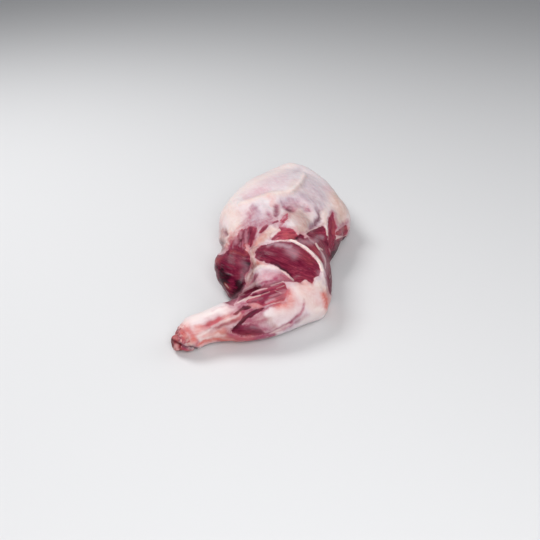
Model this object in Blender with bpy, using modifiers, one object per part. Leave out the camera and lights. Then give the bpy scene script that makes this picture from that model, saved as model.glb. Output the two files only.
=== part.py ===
"""Bone-in lamb shoulder with the fore shank left on, lying with its outer side up.

The blade end is a broad rounded pad at +Y. The upper arm comes forward from it to the elbow at
the front right, and the fore shank folds back from the elbow along the front, to -X, where the
cut end of its bone shows. Metres, +Z up, resting on Z = 0, with the origin under the middle.
Every size below is in millimetres.
"""

import math

import bmesh
import bpy
import numpy as np
from mathutils import Matrix, Vector

MM = 0.001

# The fused muscles are sampled at this spacing and softened this often. After the relief the
# surface settles a little more, and it is then thinned to this many triangles.
NET_SPACING = 2.4
SOFTENING_PASSES = 18
SETTLING_PASSES = 3
NET_TRIANGLES = 10200

# The meat sags where it lies: within this height its underside rounds over to the board.
SAG_HEIGHT = 3.0
SAG_CUT = 0.5

# The blade end: its widest rim as seen from above, the rounding of that rim, and its two faces.
BLADE_RIM = [
    (-58, 4), (-66, 52), (-60, 94), (-40, 143), (-8, 183), (26, 213), (50, 205),
    (82, 158), (98, 104), (105, 61), (87, 38), (66, 8), (0, -36), (-42, -28),
]
BLADE_ROUNDING = 30
BLADE_FACES = (-11, 57)

# The fore shank from the knuckle to the elbow: centre and radius of the flesh round the bone.
SHANK_LINE = [
    ((-96, -165, 17), 12.0),
    ((-91, -164, 16), 17.0),
    ((-82, -160, 16.5), 18.0),
    ((-66, -151, 18), 17.5),
    ((-46, -147, 21), 21.5),
    ((-12, -140, 26), 27.0),
    ((20, -123, 28), 28.0),
    ((46, -104, 26), 26.0),
]
SHANK_SAG = 6

# The bone inside the shank, from its cut end in the open to the elbow, and the gap round it.
BONE_LINE = [
    ((-100, -170.5, 10.5), 6.5),
    ((-97.5, -169, 10.5), 9.0),
    ((-92, -166, 11), 9.0),
    ((-80, -158, 14), 7.5),
    ((-46, -147, 18), 7.0),
    ((-6, -136, 22), 7.5),
    ((18, -125, 25), 10.0),
    ((32, -114, 26), 9.0),
]
BONE_GAP = 0.4

# Ridges and seams of the upper side: a line as seen from above, its height, its half width.
RELIEF = [
    # The spine of the shoulder blade under the fat.
    ([(-44, 57), (-25, 44), (0, 48), (19, 60), (34, 92), (46, 128)], 3.5, 12),
    # The hollow in front of the spine.
    ([(7, 11), (20, 27), (27, 38)], -3.5, 14),
    # The step from the fat down to the red muscle on the right.
    ([(28, -44), (47, -26), (63, -3), (78, 4)], -2.0, 6),
    # The tendon that arches over the oval muscle to the elbow.
    ([(-2, -46), (20, -56), (39, -66), (53, -78), (57, -95), (56, -107)], 2.5, 5),
    # The seam under the oval muscle.
    ([(-16, -70), (-4, -84), (11, -93), (24, -105), (37, -117), (50, -115)], -2.5, 6),
    # The seams between the long muscles of the shank.
    ([(15, -144), (-8, -147), (-31, -151), (-56, -157)], -2.0, 5),
    ([(31, -145), (15, -150), (-8, -158), (-28, -165)], -2.0, 5),
]


def clear_scene():
    """Removes every object that the file starts with."""
    for obj in list(bpy.data.objects):
        bpy.data.objects.remove(obj, do_unlink=True)


def add_collection(name):
    """Makes a collection in the scene."""
    collection = bpy.data.collections.new(name)
    bpy.context.scene.collection.children.link(collection)
    return collection


def put_in(obj, collection):
    """Moves an object into one collection only."""
    for holder in list(obj.users_collection):
        holder.objects.unlink(obj)
    collection.objects.link(obj)


def dress(obj, name, colour, roughness):
    """Gives an object one plain Principled material."""
    material = bpy.data.materials.new(name)
    material.use_nodes = True
    shader = material.node_tree.nodes["Principled BSDF"]
    shader.inputs["Base Color"].default_value = (*colour, 1.0)
    shader.inputs["Roughness"].default_value = roughness
    shader.inputs["Metallic"].default_value = 0.0
    obj.data.materials.clear()
    obj.data.materials.append(material)
    obj.data.shade_smooth()


def belly(start, end, width, depth, across=(0, 0, 1), fuller=0.0, blunt=1.0):
    """One muscle: a spindle from start to end.

    depth is measured along `across`, and width at right angles to it. A positive `fuller` moves
    the bulk towards the end, and a `blunt` below 1 rounds off both ends less sharply.
    """
    start = Vector(start) * MM
    end = Vector(end) * MM
    bpy.ops.mesh.primitive_uv_sphere_add(segments=40, ring_count=24, radius=1.0)
    obj = bpy.context.object
    along = (end - start).normalized()
    up = Vector(across)
    up = (up - along * up.dot(along)).normalized()
    side = along.cross(up).normalized()
    turn = Matrix((side, up, along)).transposed().to_4x4()
    for vertex in obj.data.vertices:
        x, y, z = vertex.co
        swell = 1.0 + 0.5 * fuller * z
        reach = math.hypot(x, y)
        if reach > 1e-6:
            swell *= reach**blunt / reach
        vertex.co = (
            x * swell * width * MM / 2,
            y * swell * depth * MM / 2,
            z * (end - start).length / 2,
        )
    obj.data.transform(Matrix.Translation((start + end) / 2) @ turn)
    return obj


def as_mesh(curve_object):
    """Turns a curve object into a mesh object with its caps welded on."""
    bpy.context.scene.collection.objects.link(curve_object)
    graph = bpy.context.evaluated_depsgraph_get()
    mesh = bpy.data.meshes.new_from_object(curve_object.evaluated_get(graph))
    name = curve_object.name
    bpy.data.objects.remove(curve_object)
    net = bmesh.new()
    net.from_mesh(mesh)
    bmesh.ops.remove_doubles(net, verts=net.verts, dist=0.01 * MM)
    bmesh.ops.recalc_face_normals(net, faces=net.faces)
    net.to_mesh(mesh)
    net.free()
    obj = bpy.data.objects.new(name, mesh)
    bpy.context.scene.collection.objects.link(obj)
    return obj


def limb(name, line, grow=0.0):
    """A round limb through (centre, radius) pairs, with every radius grown by `grow`."""
    curve = bpy.data.curves.new(name, "CURVE")
    curve.dimensions = "3D"
    curve.bevel_depth = 1.0
    curve.bevel_resolution = 5
    curve.resolution_u = 4
    curve.use_fill_caps = True
    spline = curve.splines.new("NURBS")
    spline.points.add(len(line) - 1)
    spline.order_u = 3
    spline.use_endpoint_u = True
    for spot, (centre, radius) in zip(spline.points, line):
        spot.co = (*(Vector(centre) * MM), 1.0)
        spot.radius = (radius + grow) * MM
    return as_mesh(bpy.data.objects.new(name, curve))


def pad(rim, rounding, bottom, top):
    """A flat pad between two heights, with this rim as seen from above and a round edge."""
    curve = bpy.data.curves.new("pad", "CURVE")
    curve.dimensions = "2D"
    curve.fill_mode = "BOTH"
    curve.bevel_depth = rounding * MM
    curve.offset = -rounding * MM
    curve.extrude = ((top - bottom) / 2 - rounding) * MM
    curve.bevel_resolution = 6
    curve.resolution_u = 8
    spline = curve.splines.new("BEZIER")
    spline.bezier_points.add(len(rim) - 1)
    spline.use_cyclic_u = True
    for spot, (x, y) in zip(spline.bezier_points, rim):
        spot.co = (x * MM, y * MM, 0)
        spot.handle_left_type = spot.handle_right_type = "AUTO"
    obj = as_mesh(bpy.data.objects.new("pad", curve))
    obj.data.transform(Matrix.Translation((0, 0, (top + bottom) / 2 * MM)))
    return obj


def blade_end():
    """The broad pad over the shoulder blade, crowned in the middle."""
    bottom, top = BLADE_FACES
    return [
        pad(BLADE_RIM, BLADE_ROUNDING, bottom, top),
        belly((8, -70, 27), (28, 198, 28), 158, 86, blunt=0.95),
    ]


def upper_arm():
    """The muscles round the upper arm, from the shoulder joint forward to the elbow."""
    return [
        belly((4, 64, 34), (32, -112, 22), 98, 92, blunt=0.9),
        belly((-26, -58, 50), (62, -98, 36), 50, 40, across=(0, -0.5, 0.85)),
        belly((50, 20, 18), (52, -112, 14), 44, 60, blunt=0.8),
        belly((32, -58, 30), (44, -132, 18), 50, 58),
        belly((36, -78, 22), (55, -125, 13), 36, 38),
        belly((-16, -88, 38), (32, -112, 36), 32, 32),
    ]


def breast_side():
    """The dark muscle that stands out on the left, cut where it left the breast."""
    return [
        belly((-10, 30, 34), (-24, -76, 22), 60, 62),
        belly((-41, -8, 38), (-28, -92, 12), 60, 56, blunt=0.9),
    ]


def shank():
    """The fore shank, with the flesh under the bone that sags on to the board."""
    lower_side = [((x, y + SHANK_SAG, z - SHANK_SAG), radius) for (x, y, z), radius in SHANK_LINE]
    return [limb("shank", SHANK_LINE), limb("shank_underside", lower_side, grow=-2.0)]


def fuse(pieces, name):
    """Joins the muscles into one skin and softens the creases between them."""
    bpy.ops.object.select_all(action="DESELECT")
    for piece in pieces:
        piece.select_set(True)
    bpy.context.view_layer.objects.active = pieces[0]
    bpy.ops.object.join()
    body = bpy.context.view_layer.objects.active
    body.name = name
    one_skin = body.modifiers.new("one_skin", "REMESH")
    one_skin.mode = "VOXEL"
    one_skin.voxel_size = NET_SPACING * MM
    apply_modifiers(body)
    return soften(body, SOFTENING_PASSES)


def soften(obj, passes):
    """Softens the surface: every vertex moves half way to the middle of its neighbours."""
    smoothing = obj.modifiers.new("smoothing", "SMOOTH")
    smoothing.factor = 0.5
    smoothing.iterations = passes
    return apply_modifiers(obj)


def apply_modifiers(obj):
    """Replaces an object's mesh with its evaluated one."""
    graph = bpy.context.evaluated_depsgraph_get()
    mesh = bpy.data.meshes.new_from_object(obj.evaluated_get(graph))
    obj.modifiers.clear()
    obj.data = mesh
    return obj


def distance_to_line(points, line):
    """The distance of each point, as seen from above, to a line of points."""
    nearest = np.full(len(points), np.inf)
    for start, end in zip(line[:-1], line[1:]):
        step = end - start
        share = np.clip((points - start) @ step / (step @ step), 0.0, 1.0)
        away = np.linalg.norm(points - start - share[:, None] * step, axis=1)
        nearest = np.minimum(nearest, away)
    return nearest


def sculpt(obj):
    """Raises the ridges and presses in the seams of the upper side."""
    mesh = obj.data
    count = len(mesh.vertices)
    spots = np.empty(count * 3, dtype=np.float32)
    mesh.vertices.foreach_get("co", spots)
    spots = spots.reshape(count, 3) / MM
    facing = np.empty(count * 3, dtype=np.float32)
    mesh.vertex_normals.foreach_get("vector", facing)
    facing = facing.reshape(count, 3)
    upper_side = np.clip(3.0 * facing[:, 2], 0.0, 1.0)
    for line, height, half_width in RELIEF:
        away = distance_to_line(spots[:, :2], np.array(line, dtype=float))
        lift = height * np.exp(-((away / half_width) ** 2)) * upper_side
        spots = spots + facing * lift[:, None]
    mesh.vertices.foreach_set("co", (spots * MM).astype(np.float32).ravel())
    mesh.update()


def settle_on_board(obj):
    """Rounds the underside over to the board, and flattens what touches it."""
    mesh = obj.data
    count = len(mesh.vertices)
    spots = np.empty(count * 3, dtype=np.float32)
    mesh.vertices.foreach_get("co", spots)
    spots = spots.reshape(count, 3) / MM
    sagged = SAG_HEIGHT * np.logaddexp(0.0, spots[:, 2] / SAG_HEIGHT) - SAG_CUT
    spots[:, 2] = np.maximum(sagged, 0.0)
    mesh.vertices.foreach_set("co", (spots * MM).astype(np.float32).ravel())
    mesh.update()


def thin_net(obj):
    """Thins the net, flat areas first, and keeps it on or above the board."""
    obj.data.calc_loop_triangles()
    thin = obj.modifiers.new("thin", "DECIMATE")
    thin.ratio = NET_TRIANGLES / len(obj.data.loop_triangles)
    apply_modifiers(obj)
    for vertex in obj.data.vertices:
        vertex.co.z = max(vertex.co.z, 0.0)


def centre_on_base(objects, others):
    """Moves everything so that the origin is under the middle of the box round `objects`."""
    corners = np.array([vertex.co for obj in objects for vertex in obj.data.vertices])
    middle = (corners.min(axis=0) + corners.max(axis=0)) / 2
    for obj in objects + others:
        obj.data.transform(Matrix.Translation((-middle[0], -middle[1], 0)))


def hollow_out(obj, cutter):
    """Cuts the room for the bone out of the meat."""
    cavity = obj.modifiers.new("bone_room", "BOOLEAN")
    cavity.operation = "DIFFERENCE"
    cavity.solver = "EXACT"
    cavity.object = cutter


def main():
    """Builds the meat and the bone in it."""
    clear_scene()
    parts = add_collection("lamb_shoulder")
    cutters = add_collection("cutters")
    cutters.hide_render = True

    meat = fuse(blade_end() + upper_arm() + breast_side() + shank(), "shoulder_meat")
    sculpt(meat)
    soften(meat, SETTLING_PASSES)
    settle_on_board(meat)
    thin_net(meat)
    bone = limb("shank_bone", BONE_LINE)
    bone_room = limb("bone_room", BONE_LINE, grow=BONE_GAP)
    centre_on_base([meat, bone], [bone_room])
    hollow_out(meat, bone_room)

    dress(meat, "raw_lamb", (0.45, 0.12, 0.12), 0.45)
    dress(bone, "bone_end", (0.72, 0.42, 0.38), 0.5)
    put_in(meat, parts)
    put_in(bone, parts)
    put_in(bone_room, cutters)
    bone_room.display_type = "WIRE"
    bone_room.hide_render = True


main()
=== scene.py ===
"""Looks of a raw bone-in lamb shoulder: moist muscle, fat, silver skin, sinews and the cut shank end.

The meat is one sculpted skin. Its muscles, tints, sinews and creases are laid out in the frame of
the picture that it was matched to, 540 by 540, and carried on to the surface along the lines of
sight. Where the picture doesn't reach, the nearest seen tissue runs on and fades into what such a
shoulder has there. Lengths are in metres, or in millimetres where a name or a comment says so.
"""

import logging
import math
from dataclasses import dataclass, field
from enum import Enum

import bmesh
import bpy
import numpy as np
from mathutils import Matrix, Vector
from mathutils.bvhtree import BVHTree
from mathutils.kdtree import KDTree

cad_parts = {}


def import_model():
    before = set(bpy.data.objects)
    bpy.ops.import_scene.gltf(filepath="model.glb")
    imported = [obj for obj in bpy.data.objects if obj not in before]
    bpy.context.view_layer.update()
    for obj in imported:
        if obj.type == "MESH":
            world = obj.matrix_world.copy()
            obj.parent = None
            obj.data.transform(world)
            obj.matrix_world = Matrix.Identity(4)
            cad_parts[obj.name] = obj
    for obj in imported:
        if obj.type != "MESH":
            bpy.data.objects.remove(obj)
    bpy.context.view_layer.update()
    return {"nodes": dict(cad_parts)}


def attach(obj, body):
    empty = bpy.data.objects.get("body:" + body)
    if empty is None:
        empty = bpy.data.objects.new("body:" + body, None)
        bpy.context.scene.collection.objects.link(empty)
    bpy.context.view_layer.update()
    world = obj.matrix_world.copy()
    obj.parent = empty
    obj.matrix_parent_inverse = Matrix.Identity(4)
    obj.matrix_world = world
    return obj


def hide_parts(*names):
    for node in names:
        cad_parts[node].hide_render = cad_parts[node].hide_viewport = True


log = logging.getLogger("lamb_shoulder")

MM = 0.001
# Shade and tan carry painted shade, so they fade sooner than the other tints where the frame doesn't reach.
SHADE_AND_TAN_FADE = 4  # How much sooner the dull tints fade where the picture doesn't reach.
Spot = tuple[float, float]
Line = tuple[Spot, ...]


def linear(hex_colour: str) -> tuple[float, float, float, float]:
    """Turns an sRGB hex colour into the linear colour that shaders take.

    Args:
        hex_colour: The colour, such as "#8A2433".

    Returns:
        Red, green, blue and an alpha of 1.
    """
    parts = [int(hex_colour[at : at + 2], 16) / 255 for at in (1, 3, 5)]
    red, green, blue = (c / 12.92 if c <= 0.04045 else ((c + 0.055) / 1.055) ** 2.4 for c in parts)
    return (red, green, blue, 1.0)


def smooth_step(low: float, high: float, values: np.ndarray) -> np.ndarray:
    """Rises smoothly from 0 at low to 1 at high.

    Args:
        low: Where the rise starts.
        high: Where it ends.
        values: What is tested.

    Returns:
        A share from 0 to 1 for each value.
    """
    share = np.clip((values - low) / (high - low), 0.0, 1.0)
    return share * share * (3.0 - 2.0 * share)


def noise(points: np.ndarray, size: float, seed: int) -> np.ndarray:
    """Smooth random values from -1 to 1 on a lattice in space.

    Args:
        points: The points, in rows.
        size: The lattice spacing, in the points' unit.
        seed: Which of the patterns.

    Returns:
        One value for each point.
    """
    cell = points / size
    base = np.floor(cell).astype(np.int64)
    part = cell - base
    part = part * part * (3.0 - 2.0 * part)
    total = np.zeros(len(points))
    for corner in range(8):
        step = np.array([(corner >> axis) & 1 for axis in range(3)])
        key = base + step
        mixed = (key[:, 0] * 73856093) ^ (key[:, 1] * 19349663) ^ (key[:, 2] * 83492791) ^ (seed * 97531)
        mixed = (mixed ^ (mixed >> 13)) * 1274126177 & 0x7FFFFFFF
        mixed = (mixed ^ (mixed >> 15)) & 0xFFFF
        total += (mixed / 32767.5 - 1.0) * np.prod(np.where(step, part, 1.0 - part), axis=1)
    return total


def stretch_distance(points: np.ndarray, start: np.ndarray, end: np.ndarray) -> np.ndarray:
    """The distance of each point to a straight stretch, in the frame or in space.

    Args:
        points: The points, in rows.
        start: Where the stretch starts.
        end: Where it ends.

    Returns:
        One distance for each point.
    """
    step = end - start
    share = np.clip((points - start) @ step / (step @ step), 0.0, 1.0)
    return np.linalg.norm(points - start - share[:, None] * step, axis=1)


def line_distance(points: np.ndarray, line: Line) -> np.ndarray:
    """The distance of each point to an open line.

    Args:
        points: Points of the frame, in rows.
        line: The line's corners.

    Returns:
        One distance for each point.
    """
    corners = np.array(line, dtype=float)
    nearest = np.full(len(points), np.inf)
    for start, end in zip(corners[:-1], corners[1:]):
        nearest = np.minimum(nearest, stretch_distance(points, start, end))
    return nearest


def rounded(outline: Line) -> np.ndarray:
    """Cuts the corners of a closed outline once, so that it reads as a grown form.

    Args:
        outline: Its corners in order.

    Returns:
        Twice as many corners.
    """
    corners = np.array(outline, dtype=float)
    after = np.roll(corners, -1, axis=0)
    return np.stack([0.75 * corners + 0.25 * after, 0.25 * corners + 0.75 * after], axis=1).reshape(-1, 2)


def depth_inside(points: np.ndarray, outline: Line, reach: float) -> np.ndarray:
    """How far each point lies inside a closed outline, negative outside it.

    Args:
        points: Points of the frame, in rows.
        outline: The outline's corners in order.
        reach: How far from the outline the answer matters.

    Returns:
        One depth for each point, between -reach and whatever the outline holds.
    """
    corners = rounded(outline)
    depth = np.full(len(points), -reach)
    near = np.all((points > corners.min(axis=0) - reach) & (points < corners.max(axis=0) + reach), axis=1)
    spots = points[near]
    inside = np.zeros(len(spots), dtype=bool)
    nearest = np.full(len(spots), np.inf)
    for start, end in zip(corners, np.roll(corners, -1, axis=0)):
        nearest = np.minimum(nearest, stretch_distance(spots, start, end))
        if start[1] != end[1]:
            crossed = (start[1] > spots[:, 1]) != (end[1] > spots[:, 1])
            meets = start[0] + (spots[:, 1] - start[1]) / (end[1] - start[1]) * (end[0] - start[0])
            inside ^= crossed & (spots[:, 0] < meets)
    depth[near] = np.where(inside, nearest, np.maximum(-nearest, -reach))
    return depth


# The picture's frame.


@dataclass(frozen=True)
class Viewpoint:
    """Where the picture was taken from, and how its frame maps on to the meat."""

    frame: float = 540.0
    focal: float = 659.0
    tilt: float = math.radians(32.6)
    place: tuple[float, float, float] = (-0.0013, -0.7175, 0.44)
    sensor_mm: float = 36.0

    def project(self, points: np.ndarray) -> np.ndarray:
        """Puts points of space into the picture's frame.

        Args:
            points: Points in metres, in rows.

        Returns:
            Their spots in the frame, in rows.
        """
        x, y, z = (points - np.array(self.place)).T
        ahead = y * math.cos(self.tilt) - z * math.sin(self.tilt)
        above = y * math.sin(self.tilt) + z * math.cos(self.tilt)
        middle = self.frame / 2
        return np.stack([middle + self.focal * x / ahead, middle - self.focal * above / ahead], axis=1)

    def sight(self, spot: Spot) -> Vector:
        """The direction of the line of sight through a spot of the frame.

        Args:
            spot: The spot.

        Returns:
            The direction, one long.
        """
        right = (spot[0] - self.frame / 2) / self.focal
        up = (self.frame / 2 - spot[1]) / self.focal
        sine, cosine = math.sin(self.tilt), math.cos(self.tilt)
        return Vector((right, cosine + up * sine, up * cosine - sine)).normalized()

    def landing(self, tree: BVHTree, spot: Spot) -> tuple[Vector, Vector] | None:
        """Follows the line of sight through a spot to the surface.

        Args:
            tree: The surface.
            spot: A spot of the frame.

        Returns:
            The point it meets and the surface's direction there, or None beside the meat.
        """
        point, normal, _, _ = tree.ray_cast(Vector(self.place), self.sight(spot))
        return None if point is None else (point, normal)


# What lies where.


@dataclass(frozen=True)
class Muscle:
    """One muscle that shows bare. Its outline, a line along its fibres and its edge are in the frame."""

    name: str
    outline: Line
    fibres: tuple[Spot, Spot]
    deep: float
    film: float = 0.0
    edge: float = 1.0


class Tint(Enum):
    """Tints over the fat that also darken the muscle or give it painted sheen; some hold painted shade and
    highlights.
    """

    CREAM = "cream"
    LILAC = "lilac"
    FLESH = "flesh"
    ROSE = "rose"
    BLUSH = "blush"
    TAN = "tan"
    SHADE = "shade"
    PALE = "pale"
    PAINTED_SHEEN = "painted_sheen"


@dataclass(frozen=True)
class Stain:
    """A soft-edged tint along a line of the frame."""

    tint: Tint
    line: Line
    reach: float
    strength: float


@dataclass(frozen=True)
class Fold:
    """A crease (negative height) or a ridge along a line of the frame, in millimetres."""

    line: Line
    reach: float
    height: float


@dataclass(frozen=True)
class Sinew:
    """A pale strand along a line of the frame, with its half width there and how white it is."""

    name: str
    line: Line
    half_width: float
    white: float = 1.0


def pairs(*numbers: float) -> Line:
    """Pairs a run of numbers into the corners of a line of the frame."""
    return tuple(zip(numbers[::2], numbers[1::2]))


def stains_of(rows: dict[Tint, tuple[tuple[float, ...], ...]]) -> tuple[Stain, ...]:
    """Reads rows of reach, strength and corners as stains."""
    return tuple(Stain(tint, pairs(*row[2:]), *row[:2]) for tint in rows for row in rows[tint])


def folds_of(*rows: tuple[float, ...]) -> tuple[Fold, ...]:
    """Reads rows of height, reach and corners as creases and ridges."""
    return tuple(Fold(pairs(*row[2:]), row[1], row[0]) for row in rows)


MUSCLES = (
    Muscle("oval_muscle", pairs(255.3, 254, 256.5, 250, 259, 247, 263, 245.4, 270, 243.6, 276, 242.4,
        283, 241, 290, 241.6, 295.5, 244, 301, 247.4, 307, 251.2, 311, 254.6, 315, 258.6, 318.4, 263,
        320.8, 267.6, 320.6, 273, 317.6, 277, 314, 278, 314, 281.5, 311.8, 285, 309, 283, 306.8, 280.3,
        303.8, 280, 301.5, 283.5, 298, 282.8, 293.5, 280.3, 290, 276.8, 284, 271.3, 279, 268.3,
        272, 265.3, 266, 263, 260, 260.8, 256.3, 258.5), pairs(258, 250, 312, 271), deep=0.5),
    Muscle("breast_stump", pairs(207, 267, 208, 259, 213, 254.5, 219, 254.6, 224.5, 253.6, 228, 250,
        234, 248.3, 241, 248.8, 246.5, 250.5, 250, 255, 250.3, 262, 248.6, 269, 246, 274, 245.3, 281,
        246.5, 286, 242, 292, 237, 299, 232, 308, 224, 302, 219, 293, 216, 287, 213, 281,
        210, 275), pairs(217, 261, 245, 272), deep=0.58),
    Muscle("neck_root", pairs(227.6, 250.6, 229.8, 246, 232.8, 240.8, 236.4, 235.8, 240.2, 231.4,
        243.6, 228.6, 247.6, 226.8, 248.8, 236, 247.6, 243, 245.6, 247, 245, 250.8,
        237, 251.2), pairs(241, 231, 238, 250), deep=0.48, edge=1.9),
    Muscle("neck_strand", pairs(244.8, 227.8, 250.5, 226.2, 255, 226, 257.6, 228, 256, 233, 254, 240,
        252, 246.5, 249.6, 247.4, 247, 243, 245.6, 236), pairs(252, 228, 250, 245), deep=0.44, edge=1.9),
    Muscle("neck_strip", pairs(258.6, 234, 259.4, 230, 262, 226.8, 265, 225, 268.4, 224.4, 268, 227.6,
        265.6, 230.6, 262, 233.6), pairs(259, 233, 268, 225), deep=0.38, edge=1.6),
    Muscle("bright_patch", pairs(271, 239, 273, 236, 277, 233.5, 280.3, 230.3, 279, 227, 281, 225,
        285, 227.6, 290, 228.5, 294.5, 231, 296.3, 234, 298, 237.6, 292, 239.8, 284, 240.6,
        276, 241), pairs(273, 238, 295, 233), deep=0.22, edge=1.4),
    Muscle("small_slip", pairs(279.6, 222.6, 281.4, 219.4, 284.4, 216, 287.6, 213.6, 288.6, 216,
        287, 220.4, 284, 224, 280.6, 224.6), pairs(280, 223, 288, 214), deep=0.2, edge=1.5),
    Muscle("slip_shadow", pairs(271.4, 223, 273.6, 220.8, 277, 220.2, 279, 221.6, 277, 223.2,
        273.6, 223.8), pairs(271, 222, 277, 220), deep=0.62, edge=1.5),
    Muscle("dark_notch", pairs(294, 239.3, 297.5, 236, 301, 233.6, 304.3, 235, 305, 238.3,
        300, 239.6), pairs(295, 238, 304, 236), deep=0.7, edge=1.2),
    Muscle("shoulder_wedge", pairs(304.6, 234.6, 309, 231, 314, 228.6, 319.5, 227, 322.6, 225.3, 325, 229,
        326.3, 234, 328.3, 239.5, 322, 239.8, 315, 238.8,
        309.5, 238), pairs(306, 235, 327, 233), deep=0.46),
    Muscle("shoulder_band", pairs(296, 240.6, 303, 238, 311, 237.6, 320, 239, 328.5, 239, 328.6, 248,
        330.6, 255, 338, 262, 340, 271, 340, 281, 338, 294, 330, 296, 327.4, 287, 326.4, 279, 325.6, 271,
        323.4, 265.4, 320.2, 260.6, 316.4, 256, 312.4, 251.6, 308, 248, 302, 244.2,
        297, 241.4), pairs(302, 239, 330, 272), deep=0.42),
    Muscle("flank_wedge", pairs(331.8, 212, 333.8, 216.5, 335.6, 222.5, 336.8, 227.5, 336, 233, 336, 239,
        334, 245.5, 332.3, 250, 329, 250, 328, 243, 327.6, 236, 327.3, 229, 328.3, 221.5,
        330, 215.5), pairs(332, 214, 331, 249), deep=0.34),
    Muscle("rim_patch", pairs(336, 234.4, 336.8, 231.2, 339.4, 229, 342.6, 226.6, 346, 225, 347.6, 226.4,
        347.6, 231.4, 346, 235, 342, 236.2, 338, 236), pairs(337, 233, 346, 226), deep=0.3, edge=1.3),
    Muscle("rim_lobe", pairs(333.6, 241, 338, 238.6, 343, 236.8, 352, 234, 354, 242, 347, 252, 339, 264,
        331, 259, 329.4, 251, 331.5, 246), pairs(333, 248, 345, 237), deep=0.52, edge=1.3),
    Muscle("mound_end", pairs(277, 279.3, 280.5, 275.6, 285, 275, 290, 278, 295.5, 281.6, 289, 282,
        283, 281.5), pairs(279, 279, 293, 281), deep=0.25, film=0.15, edge=2),
    Muscle("upper_flexor", pairs(235.6, 303, 239, 297, 243, 293.2, 247, 290.2, 253, 288, 260, 286,
        266, 284.2, 274, 281.4, 281, 280, 284, 281.4, 276, 284.6, 268, 287.6, 261, 288.8, 256, 290.4,
        252.4, 293, 250, 296, 246.4, 299, 241, 301.4), pairs(241, 299, 270, 284), deep=0.46, edge=1.3),
    Muscle("middle_flexor", pairs(248.6, 297.6, 254, 293.6, 262, 290.4, 268, 287.6, 276, 284.6,
        284, 281.6, 286.4, 285.6, 287, 290.6, 286.2, 296, 284.6, 301, 278, 302.6, 270, 304.6, 264.3, 306,
        261, 304.6, 256, 302.8, 250, 302.6, 246, 302,
        246.6, 299.6), pairs(250, 300, 285, 286), deep=0.28, edge=1.4),
    Muscle("shank_slip", pairs(232, 315.4, 236, 311.6, 240, 308.4, 244, 306, 248, 305, 251.6, 305.8,
        249.6, 308.6, 246, 310.6, 243, 312, 239.6, 313.6,
        236, 315.2), pairs(233, 314, 249, 307), deep=1, edge=1.3),
    Muscle("long_slip", pairs(232.4, 329, 237, 323.6, 242, 318.4, 248, 313.4, 254, 310, 260, 307.8,
        266, 306.8, 264, 310, 259, 312.8, 253, 316.4, 247, 320.4, 242.4, 324.4,
        239, 328), pairs(236, 326, 262, 309), deep=0.98, edge=1.5),
    Muscle("extensor_tip", pairs(230.3, 330, 234, 326.8, 239, 325.3, 246, 325.6, 252, 323.6, 257.5, 325.6,
        260, 329, 266, 332.6, 262, 336.3, 252, 336.6, 243, 336, 236.5, 334.3,
        232, 332.3), pairs(232, 330, 262, 331), deep=0.6, edge=3),
    Muscle("heel_slip", pairs(206.6, 325.8, 209, 322.6, 214, 320.8, 219.6, 320.2, 217, 323.6,
        211, 326.4), pairs(207, 325, 218, 321), deep=-0.12, film=0.05, edge=2.6),
)
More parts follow.
